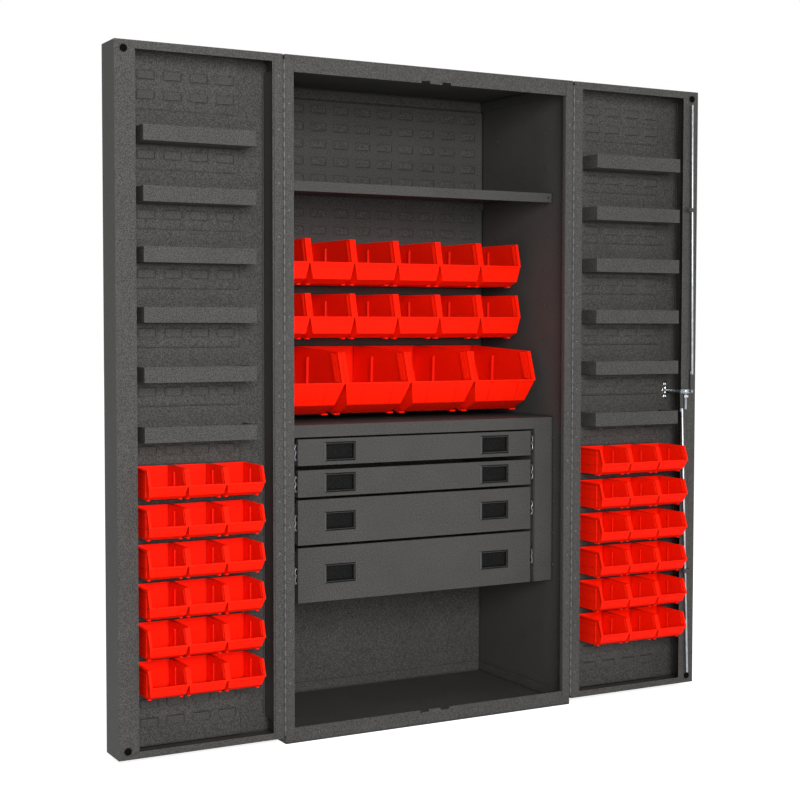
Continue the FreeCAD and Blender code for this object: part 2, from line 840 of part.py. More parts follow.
def door_stiffener():
    """A channel along the inside of the hinge side of the right door."""
    web = f"({DOOR_IN} + stiffener_depth)"
    wall = f"({DOOR_IN} + steel)"
    near = f"({FRONT} + stiffener_near)"
    far = f"({near} + stiffener_width)"
    return folded(
        "XY",
        [
            (wall, near), (web, near), (web, far), (wall, far),
            (wall, f"{far} - thin_steel"), (f"{web} - thin_steel", f"{far} - thin_steel"),
            (f"{web} - thin_steel", f"{near} + thin_steel"), (wall, f"{near} + thin_steel"),
        ],
        f"{DOOR_TOP} - door_bottom - 2 * stiffener_end",
        "door_bottom + stiffener_end",
    )


def knuckle_count():
    """How many knuckles fit on a door."""
    return int(number(f"{DOOR_TOP} - door_bottom - 2 * hinge_end_gap") // number("knuckle_pitch"))


def hinge_leaf(side, first):
    """A leaf of the right hinge. side is 1 for the door, -1 for the cabinet; first is its first knuckle."""
    pitch = number("knuckle_pitch")
    gap = number("knuckle_gap")
    sheet = number("hinge_sheet")
    radius = number("knuckle_radius")
    pivot = FreeCAD.Vector(number(PIVOT_X), number(PIVOT_Y), 0)
    face = number(FRONT)
    low = number("door_bottom + hinge_end_gap")
    count = knuckle_count()
    edge = pivot.x + side * number("hinge_gap") / 2
    far = edge + side * number("hinge_leaf")
    start = FreeCAD.Vector(min(edge, far), face - sheet, low)
    plate = Part.makeBox(abs(far - edge), sheet, count * pitch, start)
    bore_radius = number("hinge_pin") + (number("hinge_bore_clearance") if side > 0 else 0)
    bore = Part.makeCylinder(bore_radius, count * pitch, FreeCAD.Vector(pivot.x, pivot.y, low))
    knuckles = []
    for place in range(first, count, 2):
        start = low + place * pitch + gap / 2
        tall = pitch - gap
        knuckles.append(Part.makeCylinder(radius, tall, FreeCAD.Vector(pivot.x, pivot.y, start)))
        corner = FreeCAD.Vector(min(pivot.x, edge), face - sheet, start)
        knuckles.append(Part.makeBox(abs(edge - pivot.x), sheet, tall, corner))
    return plate.multiFuse(knuckles).cut(bore).removeSplitter()


def tray_shape(middle, columns):
    """A folded tray, its rear top edge at the origin. It hangs on louvers and has a lip at its front."""
    sheet = number("tray_sheet")
    width = number("tray_width")
    inset = number("tray_back_inset")
    lip = number("tray_lip")
    depth = number(f"{DOOR_LOUVER_FACE} - louver_rise - hanger_clearance") - number(f"{FRONT} - tray_proud")
    height = number("tray_lip_drop") + lip
    left = -width / 2

    def wall(x, y, z, *size):
        return Part.makeBox(*size, FreeCAD.Vector(x, y, z))

    pieces = [
        wall(left + inset, -sheet, -height, width - 2 * inset, sheet, height),
        wall(left, -depth, -height, width, depth, sheet),
        wall(left, -depth, -height, width, sheet, lip),
        wall(left, -depth, -height, sheet, depth, lip),
        wall(-left - sheet, -depth, -height, sheet, depth, lip),
    ]
    pieces += hooks(middle, width - 2 * inset, number("tray_hook_width"), columns)
    return pieces[0].multiFuse(pieces[1:]).removeSplitter()


def door_trays(columns):
    middle = number(f"{DOOR_IN} + tray_middle")
    tray = tray_shape(middle, columns)
    back = number(f"{DOOR_LOUVER_FACE} - louver_rise - hanger_clearance")
    trays = []
    for order in range(int(number("tray_count"))):
        level = strap_top("door", f"tray_first_row + tray_row_step * {order}") + number("hanger_sheet")
        trays.append(tray.translated(FreeCAD.Vector(middle, back, level)))
    return trays


def bumpers():
    """Round rubber stops at the corners of the free lip of the right door."""
    return [
        cylinder(
            f"{DOOR_OUT} - bumper_from_edge", f"{FRONT} - bumper_thickness", level,
            "bumper_radius", "bumper_thickness", "y",
        )
        for level in ("door_bottom + bumper_from_end", f"{DOOR_TOP} - bumper_from_end")
    ]


CAM_FRONT = f"({FRONT} - cam_gap - cam_plate)"
LINK_BACK = f"({FRONT} - rod_stand + rod_radius)"
HANDLE_BACK = f"({DOOR_SKIN} + escutcheon_thickness + handle_gap)"


def spindle_cam():
    """The inside end of the lock: a spindle, a two-armed plate with a stud for each rod, and a tongue."""
    plate_span = (CAM_FRONT, f"{CAM_FRONT} + cam_plate")
    spindle = cylinder(
        SPINDLE_X, CAM_FRONT, "spindle_height",
        "spindle_radius", f"{HANDLE_BACK} + handle_hub_height / 2 - {CAM_FRONT}", "y",
    )
    arms = block(
        (f"{SPINDLE_X} - cam_radius", f"{SPINDLE_X} + cam_radius"), plate_span,
        ("spindle_height - cam_arm_width / 2", "spindle_height + cam_arm_width / 2"),
    )
    tongue = block(
        (f"{SPINDLE_X} - tongue_width / 2", f"{SPINDLE_X} + tongue_width / 2"), plate_span,
        ("spindle_height - tongue_length", "spindle_height"),
    )
    pieces = [spindle, arms, tongue]
    level = "spindle_height"
    stud_front = f"({LINK_BACK} - rod_link - stud_play)"
    for side in ("+", "-"):
        x = f"{SPINDLE_X} {side} cam_radius"
        pieces.append(cylinder(x, CAM_FRONT, level, "cam_arm_width / 2", "cam_plate", "y"))
        pieces.append(cylinder(x, stud_front, level, "stud_radius", f"{CAM_FRONT} - {stud_front}", "y"))
        pieces.append(cylinder(x, f"{stud_front} - stud_head", level, "stud_head_radius", "stud_head", "y"))
    return joined(pieces)


def lock_rod(side, tip):
    """A rod with a flat link round its stud. side is 1 for the rod on the outer stud, which goes up."""
    stud_x = number(SPINDLE_X) + side * number("cam_radius")
    level = number("spindle_height")
    stud = FreeCAD.Vector(stud_x, 0, level)
    end = FreeCAD.Vector(number(f"{DOOR_OUT} - rod_end_from_edge"), 0, number(tip))
    along = (end - stud).normalize()
    centre = number(f"{FRONT} - rod_stand")
    radius = number("rod_radius")
    link = number("rod_link")
    link_front = number(f"{LINK_BACK} - rod_link")
    start = stud + along * (number("rod_link_length") - number("rod_link_lap"))
    length = (end - start).Length
    rod = Part.makeCylinder(radius, length, FreeCAD.Vector(start.x, centre, start.z), along)
    turn = FreeCAD.Rotation(FreeCAD.Vector(0, 0, 1), along)
    half = number("rod_link_width") / 2
    flat = Part.makeBox(2 * half, link, number("rod_link_length"), FreeCAD.Vector(-half, 0, 0))
    flat.Placement = FreeCAD.Placement(FreeCAD.Vector(stud_x, link_front, level), turn)
    towards_door = FreeCAD.Vector(0, 1, 0)
    rounded = Part.makeCylinder(half, link, FreeCAD.Vector(stud_x, link_front, level), towards_door)
    hole_radius = number("stud_radius + stud_clearance")
    hole = Part.makeCylinder(
        hole_radius, 3 * link, FreeCAD.Vector(stud_x, link_front - link, level), towards_door
    )
    return rod.multiFuse([flat, rounded]).cut(hole).removeSplitter()


def rod_guide(side):
    """A bent strap on the free lip that a rod slides through."""
    level = f"(spindle_height + {side} * guide_reach)"
    end_shift = "(spindle_from_edge - rod_end_from_edge)"
    if side > 0:
        share = "(guide_reach / (upper_rod_top - spindle_height))"
    else:
        share = "(guide_reach / (spindle_height - lower_rod_bottom))"
    stud_shift = f"({side} * cam_radius)"
    rest = f"({SPINDLE_X} + {stud_shift} + ({end_shift} - {stud_shift}) * {share})"
    locked = f"({SPINDLE_X} + {end_shift} * {share})"
    middle = f"(({rest} + {locked}) / 2)"
    tall = (f"{level} - guide_height / 2", f"{level} + guide_height / 2")
    inside = f"({FRONT} - rod_stand - rod_radius - guide_clearance)"
    outer = block(
        (f"{middle} - guide_half_width - guide_sheet", f"{middle} + guide_half_width + guide_sheet"),
        (f"{inside} - guide_sheet", FRONT), tall,
    )
    room = block(
        (f"{middle} - guide_half_width", f"{middle} + guide_half_width"), (inside, f"{FRONT} + steel"),
        (f"{level} - guide_height", f"{level} + guide_height"),
    )
    feet = [
        block(span, (f"{FRONT} - guide_sheet", FRONT), tall)
        for span in (
            (f"{middle} - guide_half_width - guide_foot", f"{middle} - guide_half_width"),
            (f"{middle} + guide_half_width", f"{middle} + guide_half_width + guide_foot"),
        )
    ]
    return joined([carved(outer, [room])] + feet)


def escutcheon():
    """The plate on the outside of the right door, behind the handle."""
    plate = block(
        (f"{SPINDLE_X} - escutcheon_width / 2", f"{SPINDLE_X} + escutcheon_width / 2"),
        (DOOR_SKIN, f"{DOOR_SKIN} + escutcheon_thickness"),
        ("spindle_height - escutcheon_height / 2", "spindle_height + escutcheon_height / 2"),
    )
    return carved(plate, [
        cylinder(
            SPINDLE_X, f"{DOOR_SKIN} - steel", "spindle_height", "spindle_radius + spindle_clearance",
            "escutcheon_thickness + 2 * steel", "y",
        )
    ])


def mount_bolts():
    """The two bolts of the outside plate, with a nut on each inside the door."""
    pieces = []
    for side in (1, -1):
        level = f"spindle_height + {side} * mount_bolt_spacing / 2"
        nut_front = f"({DOOR_SKIN} - steel - mount_nut_height)"
        shank_front = f"({nut_front} - mount_bolt_radius)"
        shank_length = f"{DOOR_SKIN} - {shank_front}"
        shank = cylinder(SPINDLE_X, shank_front, level, "mount_bolt_radius", shank_length, "y")
        nut = cylinder(SPINDLE_X, nut_front, level, "mount_nut_radius", "mount_nut_height", "y")
        pieces.append(joined([shank, nut]))
    return pieces


def handle():
    """The outside lever, which points towards the hinges until it is turned."""
    hub = cylinder(SPINDLE_X, HANDLE_BACK, "spindle_height", "handle_hub_radius", "handle_hub_height", "y")
    lever_back = f"{HANDLE_BACK} + handle_hub_height - handle_thickness"
    lever = block(
        (f"{SPINDLE_X} - handle_length", SPINDLE_X),
        (lever_back, f"{lever_back} + handle_thickness"),
        ("spindle_height - handle_width / 2", "spindle_height + handle_width / 2"),
    )
    tip = cylinder(
        f"{SPINDLE_X} - handle_length", lever_back, "spindle_height",
        "handle_width / 2", "handle_thickness", "y",
    )
    bore = cylinder(
        SPINDLE_X, f"{HANDLE_BACK} - steel", "spindle_height",
        "spindle_radius", "handle_hub_height / 2 + steel", "y",
    )
    return carved(joined([hub, lever, tip]), [bore])


# cabinet body
right_side = side_panel()
keep(right_side, "right_side_panel")
keep(mirrored(right_side), "left_side_panel")
keep(
    pan(
        ("cabinet_height - steel", "cabinet_height"),
        ("cabinet_height - pan_flange", "cabinet_height"),
        ("cabinet_height - top_rail", "cabinet_height"),
        ("cabinet_height - top_rail - steel", "cabinet_height - top_rail + notch_depth"),
    ),
    "top_panel",
)
keep(
    pan(
        ("0", "steel"),
        ("0", "pan_flange"),
        ("0", "bottom_rail"),
        ("bottom_rail - notch_depth", "bottom_rail + steel"),
    ),
    "floor_panel",
)
back = block((f"-{INSIDE}", INSIDE), (BACK_FACE, f"{BACK} - steel"), ("steel", "cabinet_height - steel"))
keep(back, "back_panel")
back_columns = louver_columns("back", number("back_louver_shift"))
back_face = number(BACK_LOUVER_FACE)
back_louvers = louver_sheet(
    0, 2 * number(f"{INSIDE} - back_louver_gap"), number("back_louver_bottom"), number("back_louver_top"),
    back_face, number("back_louver_standoff"), back_columns,
    int(number("back_louver_rows")), number("back_louver_down"), number("back_louver_first"),
)
keep(formed(back_louvers), "back_louver_panel")

# shelf
keep(shelf(), "adjustable_shelf")
right_clips = [shelf_clip(setback) for setback in ("tab_front_setback", "tab_rear_setback")]
keep(gathered(right_clips + [mirrored(clip) for clip in right_clips]), "shelf_clips")

# drawer unit
keep(drawer_unit_top(), "drawer_unit_top")
right_wall = drawer_unit_wall()
keep(right_wall, "drawer_unit_right_wall")
keep(mirrored(right_wall), "drawer_unit_left_wall")
filler = front_filler()
keep(filler, "right_front_filler")
keep(mirrored(filler), "left_front_filler")
outer_members = []
low = "unit_bottom"
gaps_above = {"four": "drawer_gap", "three": "drawer_gap", "two": "drawer_upper_gap", "one": "0"}
for order, gap in gaps_above.items():
    high = f"({low} + drawer_{order}_height)"
    level = f"(({low} + {high}) / 2)"
    keep(drawer(low, high), f"drawer_{order}")
    pulls = [pull(middle, low, high) for middle in ("pull_middle", "-pull_middle")]
    keep(gathered(pulls), f"drawer_{order}_pulls")
    for member, name in ((inner_member(level), "drawer_member"), (middle_member(level), "middle_member")):
        keep(gathered([member, mirrored(member)]), f"drawer_{order}_slide_{name}")
    outer = outer_member(level)
    outer_members += [outer, mirrored(outer)]
    low = f"({high} + {gap})"
keep(gathered(outer_members), "slide_cabinet_members")

# bins on the back panel
medium_count = int(number("medium_bin_columns"))
large_count = int(number("large_bin_columns"))
for row in ("upper_bin_row", "middle_bin_row"):
    row_of_bins = bin_row("medium", "back", row, 0, medium_count, back_face, back_columns)
    keep(formed(Part.makeCompound(row_of_bins)), row)
large_bins = bin_row("large", "back", "large_bin_row", 0, large_count, back_face, back_columns)
for order, large_bin in enumerate(large_bins, start=1):
    keep(formed(large_bin), f"large_bin_{order}")

# hinges
cabinet_leaf = formed(hinge_leaf(-1, 0))
keep(cabinet_leaf, "right_hinge_cabinet_leaf")
keep(mirrored(cabinet_leaf), "left_hinge_cabinet_leaf")
pin_length = f"{knuckle_count()} * knuckle_pitch"
pins = [
    cylinder(x, PIVOT_Y, "door_bottom + hinge_end_gap", "hinge_pin", pin_length)
    for x in (PIVOT_X, f"-{PIVOT_X}")
]
keep(gathered(pins), "hinge_pins")
door_leaf = formed(hinge_leaf(1, 1))
keep(door_leaf, "right_hinge_door_leaf")
keep(mirrored(door_leaf), "left_hinge_door_leaf")

# doors
shell = door_shell()
keep(carved(shell, lock_holes()), "right_door_shell")
keep(mirrored(shell), "left_door_shell")
stiffener = door_stiffener()
keep(stiffener, "right_door_stiffener")
keep(mirrored(stiffener), "left_door_stiffener")
door_face = number(DOOR_LOUVER_FACE)
panel_middle = number(f"{DOOR_IN} + door_panel_middle")
door_columns = louver_columns("door", panel_middle)
door_louvers = formed(
    louver_sheet(
        panel_middle, number("door_panel_width"),
        number("door_bottom + steel + door_panel_end_gap"),
        number(f"{DOOR_TOP} - steel - door_panel_end_gap"),
        door_face, number("door_louver_standoff"), door_columns,
        int(number("door_louver_rows")), number("door_louver_down"), number("door_louver_first"),
    )
)
keep(door_louvers, "right_door_louver_panel")
keep(mirrored(door_louvers), "left_door_louver_panel")
trays = formed(Part.makeCompound(door_trays(door_columns)))
keep(trays, "right_door_trays")
keep(mirrored(trays), "left_door_trays")
small_bins = []
small_middle = number(f"{DOOR_IN} + small_bin_middle")
small_count = int(number("small_bin_columns"))
for order in range(int(number("small_bin_rows"))):
    row = f"small_bin_first_row + small_bin_row_step * {order}"
    small_bins += bin_row("small", "door", row, small_middle, small_count, door_face, door_columns)
door_bins = formed(Part.makeCompound(small_bins))
keep(door_bins, "right_door_bins")
keep(mirrored(door_bins), "left_door_bins")
stops = bumpers()
keep(gathered(stops), "right_door_bumpers")
keep(gathered([mirrored(stop) for stop in stops]), "left_door_bumpers")

# lock
keep(spindle_cam(), "lock_spindle_and_cam")
keep(formed(lock_rod(1, "upper_rod_top")), "upper_lock_rod")
keep(formed(lock_rod(-1, "lower_rod_bottom")), "lower_lock_rod")
keep(gathered([rod_guide(side) for side in (1, -1)]), "lock_rod_guides")
keep(escutcheon(), "lock_plate")
keep(gathered(mount_bolts()), "lock_bolts")
keep(handle(), "lock_handle")

document.recompute()
for thing in document.Objects:
    if {"Invalid", "Error"} & set(thing.State):
        raise RuntimeError(f"{thing.Label} is {thing.State}")
os.makedirs("parts", exist_ok=True)
for thing in subparts:
    if thing.Shape.isNull() or not thing.Shape.isValid():
        raise RuntimeError(f"{thing.Label} has no valid shape")
    thing.Shape.exportStep(f"parts/{thing.Label}.step")
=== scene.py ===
import json
import math

import bmesh
import bpy
from mathutils import Matrix, Vector


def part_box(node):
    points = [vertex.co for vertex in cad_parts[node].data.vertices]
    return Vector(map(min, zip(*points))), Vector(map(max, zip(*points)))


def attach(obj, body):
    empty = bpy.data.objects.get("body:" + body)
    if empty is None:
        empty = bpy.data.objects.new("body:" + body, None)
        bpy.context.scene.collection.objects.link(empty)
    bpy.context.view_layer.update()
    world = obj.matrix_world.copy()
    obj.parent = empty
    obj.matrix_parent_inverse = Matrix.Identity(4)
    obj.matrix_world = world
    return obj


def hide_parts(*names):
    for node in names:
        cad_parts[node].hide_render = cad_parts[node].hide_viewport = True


# A dark grey steel cabinet with red hanging bins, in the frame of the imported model: +Z up, +Y towards the
# back, +X to the right, and the origin on the floor under the middle of the cabinet body. The scene is in
# metres, and the sizes of the added pieces are in millimetres.

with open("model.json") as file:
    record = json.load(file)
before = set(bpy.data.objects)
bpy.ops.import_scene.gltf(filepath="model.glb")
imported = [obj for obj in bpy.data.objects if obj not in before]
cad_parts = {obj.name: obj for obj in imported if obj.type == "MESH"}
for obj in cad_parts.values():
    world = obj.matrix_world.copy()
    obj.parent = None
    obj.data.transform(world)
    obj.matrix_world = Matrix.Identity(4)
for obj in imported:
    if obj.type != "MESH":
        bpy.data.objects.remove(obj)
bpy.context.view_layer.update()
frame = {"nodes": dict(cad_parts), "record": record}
nodes = frame["nodes"]
MILLIMETRE = 0.001
bpy.context.scene.view_settings.view_transform = "Standard"


# camera, solved from the corners of the body and the doors in the photograph

EYE = Vector((-2.1496, -4.0417, 1.1296))
YAW = 0.5129
PITCH = 0.0469
ROLL = 0.0023
FOCAL_PIXELS = 1562.94
OPTICAL_AXIS_PIXEL = (429.96, 394.89)
PICTURE_PIXELS = 800
SENSOR = 36.0
VIEW_DEPTH = 100


def place_camera():
    forward = Vector((math.sin(YAW) * math.cos(PITCH), math.cos(YAW) * math.cos(PITCH), -math.sin(PITCH)))
    level_right = Vector((math.cos(YAW), -math.sin(YAW), 0))
    level_up = level_right.cross(forward)
    right = math.cos(ROLL) * level_right + math.sin(ROLL) * level_up
    up = right.cross(forward)
    data = bpy.data.cameras.new("Camera")
    data.sensor_width = SENSOR
    data.lens = FOCAL_PIXELS / PICTURE_PIXELS * SENSOR
    data.shift_x = 0.5 - OPTICAL_AXIS_PIXEL[0] / PICTURE_PIXELS
    data.shift_y = OPTICAL_AXIS_PIXEL[1] / PICTURE_PIXELS - 0.5
    data.clip_end = VIEW_DEPTH
    camera = bpy.data.objects.new("Camera", data)
    bpy.context.scene.collection.objects.link(camera)
    turn = Matrix((right, up, -forward)).transposed().to_4x4()
    camera.matrix_world = Matrix.Translation(EYE) @ turn
    bpy.context.scene.camera = camera


place_camera()


# light, floor and background

WORLD_LIGHT = 0.40
WORLD_COLOUR = (0.90, 0.95, 1.0, 1)
WHITE = (1, 1, 1, 1)
FLOOR_GLOW = 0.79
FLOOR_COLOUR = (0.8, 0.8, 0.8, 1)
FLOOR_REACH = 30
# each lamp has its place, the point it faces, its size and its power
LAMPS = {
    "FrontLight": ((-2.1, -6.1, 2.1), (0, 0, 0.95), (2.2, 2.2), 430),
    "RightLight": ((4.2, -4.2, 2.6), (0.3, 0, 0.9), (2.4, 3.0), 10),
    "TopLight": ((0, -1.2, 5.0), (0, -0.2, 0.9), (3.0, 2.4), 28),
}


def studio_world():
    """A soft even light, with a plain white background for the camera and in reflections."""
    world = bpy.data.worlds.new("Studio")
    bpy.context.scene.world = world
    world.use_nodes = True
    tree = world.node_tree
    tree.nodes.clear()
    output = tree.nodes.new("ShaderNodeOutputWorld")
    light = tree.nodes.new("ShaderNodeBackground")
    light.inputs["Color"].default_value = WORLD_COLOUR
    light.inputs["Strength"].default_value = WORLD_LIGHT
    seen = tree.nodes.new("ShaderNodeBackground")
    seen.inputs["Color"].default_value = WHITE
    mix = tree.nodes.new("ShaderNodeMixShader")
    tree.links.new(seen_directly(tree), mix.inputs["Fac"])
    tree.links.new(light.outputs[0], mix.inputs[1])
    tree.links.new(seen.outputs[0], mix.inputs[2])
    tree.links.new(mix.outputs[0], output.inputs["Surface"])


def seen_directly(tree):
    """1 for rays from the camera, from mirrors and through glass, 0 for those that light matt surfaces."""
    path = tree.nodes.new("ShaderNodeLightPath")
    total = path.outputs["Is Camera Ray"]
    for other in ("Is Glossy Ray", "Is Transmission Ray"):
        both = tree.nodes.new("ShaderNodeMath")
        both.operation = "MAXIMUM"
        tree.links.new(total, both.inputs[0])
        tree.links.new(path.outputs[other], both.inputs[1])
        total = both.outputs[0]
    return total


def studio_floor():
    """A white floor that keeps the shadow of the cabinet."""
    mesh = bpy.data.meshes.new("Floor")
    corners = [(x * FLOOR_REACH, y * FLOOR_REACH, 0) for x, y in ((-1, -1), (1, -1), (1, 1), (-1, 1))]
    mesh.from_pydata(corners, [], [(0, 1, 2, 3)])
    floor = bpy.data.objects.new("Floor", mesh)
    bpy.context.scene.collection.objects.link(floor)
    material = bpy.data.materials.new("Floor")
    material.use_nodes = True
    tree = material.node_tree
    tree.nodes.clear()
    output = tree.nodes.new("ShaderNodeOutputMaterial")
    matt = tree.nodes.new("ShaderNodeBsdfDiffuse")
    matt.inputs["Color"].default_value = FLOOR_COLOUR
    glow = tree.nodes.new("ShaderNodeEmission")
    lift = tree.nodes.new("ShaderNodeMath")
    lift.operation = "MULTIPLY"
    lift.inputs[1].default_value = FLOOR_GLOW
    total = tree.nodes.new("ShaderNodeAddShader")
    tree.links.new(seen_directly(tree), lift.inputs[0])
    tree.links.new(lift.outputs[0], glow.inputs["Strength"])
    tree.links.new(matt.outputs[0], total.inputs[0])
    tree.links.new(glow.outputs[0], total.inputs[1])
    tree.links.new(total.outputs[0], output.inputs["Surface"])
    mesh.materials.append(material)


def soft_box(name, place, target, size, power):
    data = bpy.data.lights.new(name, "AREA")
    data.shape = "RECTANGLE"
    data.size, data.size_y = size
    data.energy = power
    lamp = bpy.data.objects.new(name, data)
    bpy.context.scene.collection.objects.link(lamp)
    lamp.location = place
    lamp.rotation_euler = (Vector(target) - Vector(place)).to_track_quat("-Z", "Y").to_euler()


studio_world()
studio_floor()
for lamp_name, settings in LAMPS.items():
    soft_box(lamp_name, *settings)


# shader helpers

def node(tree, kind, **settings):
    made = tree.nodes.new(kind)
    for name, value in settings.items():
        if name in made.inputs:
            made.inputs[name].default_value = value
        else:
            setattr(made, name, value)
    return made


def effect(name, inputs, outputs):
    """An empty shader node group with its sockets. Returns the tree and its input and output nodes."""
    tree = bpy.data.node_groups.new(name, "ShaderNodeTree")
    for socket, kind, value in inputs:
        made = tree.interface.new_socket(socket, in_out="INPUT", socket_type=kind)
        made.default_value = value
    for socket, kind in outputs:
        tree.interface.new_socket(socket, in_out="OUTPUT", socket_type=kind)
    return tree, tree.nodes.new("NodeGroupInput"), tree.nodes.new("NodeGroupOutput")


def grain_effect():
    """Fine and broad variation that every finish of the cabinet uses. Scales are in patches per metre."""
    tree, given, result = effect(
        "Grain",
        [("Fine Scale", "NodeSocketFloat", 900.0), ("Broad Scale", "NodeSocketFloat", 9.0)],
        [("Fine", "NodeSocketFloat"), ("Broad", "NodeSocketFloat")],
    )
    place = node(tree, "ShaderNodeTexCoord")
    for scale, output, detail in (("Fine Scale", "Fine", 2.0), ("Broad Scale", "Broad", 4.0)):
        noise = node(tree, "ShaderNodeTexNoise", Detail=detail, Roughness=0.6)
        tree.links.new(place.outputs["Object"], noise.inputs["Vector"])
        tree.links.new(given.outputs[scale], noise.inputs["Scale"])
        tree.links.new(noise.outputs["Fac"], result.inputs[output])
    return tree


BREAKUP_FULL = 0.75
# an edge is where the rounded normal and the plain one differ: these are the cosines between the two
FLAT_ABOVE = 0.98
EDGE_BELOW = 0.75


def edge_effect():
    """1 on outer edges and 0 on flat faces, broken up by a noise."""
    tree, given, result = effect(
        "Edges",
        [("Radius", "NodeSocketFloat", 0.002), ("Breakup", "NodeSocketFloat", 0.5)],
        [("Mask", "NodeSocketFloat")],
    )
    rounded = node(tree, "ShaderNodeBevel")
    rounded.samples = 4
    plain = node(tree, "ShaderNodeNewGeometry")
    tree.links.new(given.outputs["Radius"], rounded.inputs["Radius"])
    alike = node(tree, "ShaderNodeVectorMath", operation="DOT_PRODUCT")
    tree.links.new(rounded.outputs["Normal"], alike.inputs[0])
    tree.links.new(plain.outputs["Normal"], alike.inputs[1])
    edge = node(tree, "ShaderNodeMapRange")
    edge.inputs["From Min"].default_value = FLAT_ABOVE
    edge.inputs["From Max"].default_value = EDGE_BELOW
    tree.links.new(alike.outputs["Value"], edge.inputs["Value"])
    place = node(tree, "ShaderNodeTexCoord")
    noise = node(tree, "ShaderNodeTexNoise", Scale=120.0, Detail=3.0)
    tree.links.new(place.outputs["Object"], noise.inputs["Vector"])
    share = node(tree, "ShaderNodeMapRange")
    tree.links.new(noise.outputs["Fac"], share.inputs["Value"])
    tree.links.new(given.outputs["Breakup"], share.inputs["From Min"])
    share.inputs["From Max"].default_value = BREAKUP_FULL
    both = node(tree, "ShaderNodeMath", operation="MULTIPLY")
    tree.links.new(edge.outputs["Result"], both.inputs[0])
    tree.links.new(share.outputs["Result"], both.inputs[1])
    tree.links.new(both.outputs[0], result.inputs["Mask"])
    return tree


GRAIN = grain_effect()
EDGES = edge_effect()


def finish(name, **settings):
    """A material with one Principled shader. Returns the material, its tree and the shader."""
    material = bpy.data.materials.new(name)
    material.use_nodes = True
    tree = material.node_tree
    shader = tree.nodes["Principled BSDF"]
    for socket, value in settings.items():
        shader.inputs[socket.replace("_", " ")].default_value = value
    return material, tree, shader


def group(tree, effect_tree, **settings):
    made = tree.nodes.new("ShaderNodeGroup")
    made.node_tree = effect_tree
    for name, value in settings.items():
        made.inputs[name.replace("_", " ")].default_value = value
    return made


def ramp(tree, source, stops):
    """A colour ramp fed by a socket. stops is a list of (place, grey value or colour)."""
    made = tree.nodes.new("ShaderNodeValToRGB")
    elements = made.color_ramp.elements
    while len(elements) < len(stops):
        elements.new(0.5)
    for element, (place, colour) in zip(elements, stops):
        element.position = place
        element.color = (*colour, 1) if isinstance(colour, tuple) else (colour, colour, colour, 1)
    tree.links.new(source, made.inputs["Fac"])
    return made.outputs["Color"]


def mixed(tree, share, first, second, blend="MIX"):
    """first and second are sockets or colours, mixed by a share that is a socket or a number."""
    made = tree.nodes.new("ShaderNodeMix")
    made.data_type = "RGBA"
    made.blend_type = blend
    for socket, value in ((made.inputs[0], share), (made.inputs[6], first), (made.inputs[7], second)):
        if isinstance(value, bpy.types.NodeSocket):
            tree.links.new(value, socket)
        else:
            socket.default_value = (*value, 1) if isinstance(value, tuple) else value
    return made.outputs[2]


def bumped(tree, shader, height, distance, strength=1.0):
    bump = node(tree, "ShaderNodeBump", Distance=distance, Strength=strength)
    tree.links.new(height, bump.inputs["Height"])
    tree.links.new(bump.outputs["Normal"], shader.inputs["Normal"])


OPEN_ABOVE = 0.98
CREVICE_SHADE = 0.45


def crevice_effect():
    """1 in narrow gaps and inside corners, 0 on open faces: where painted shade is laid."""
    tree, given, result = effect(
        "Crevices",
        [("Reach", "NodeSocketFloat", 0.008), ("Depth", "NodeSocketFloat", 0.55)],
        [("Mask", "NodeSocketFloat")],
    )
    shade = node(tree, "ShaderNodeAmbientOcclusion")
    shade.samples = 6
    tree.links.new(given.outputs["Reach"], shade.inputs["Distance"])
    mask = node(tree, "ShaderNodeMapRange")
    tree.links.new(shade.outputs["AO"], mask.inputs["Value"])
    tree.links.new(given.outputs["Depth"], mask.inputs["From Min"])
    mask.inputs["From Max"].default_value = OPEN_ABOVE
    mask.inputs["To Min"].default_value = 1.0
    mask.inputs["To Max"].default_value = 0.0
    tree.links.new(mask.outputs["Result"], result.inputs["Mask"])
    return tree


CREVICES = crevice_effect()
# colour of the painted shade laid into gaps and inside corners of the powder coat
PAINTED_GAP_SHADE = (0.012, 0.013, 0.014)
# the Y, in metres, in front of which a hinge leaf is rolled into knuckles
BARREL_BACK = -0.2588
# noise stays mostly between these two values
NOISE_LOW, NOISE_HIGH = 0.3, 0.7


def spread(tree, source, first, second, low=NOISE_LOW, high=NOISE_HIGH):
    """A ramp from the first value or colour to the second, over the part of a noise that is in use."""
    return ramp(tree, source, [(low, first), (high, second)])


def along_axis(tree, axis):
    """The place of a point along one axis of its own object, in metres."""
    place = node(tree, "ShaderNodeTexCoord")
    parts = node(tree, "ShaderNodeSeparateXYZ")
    tree.links.new(place.outputs["Object"], parts.inputs[0])
    return parts.outputs[axis]


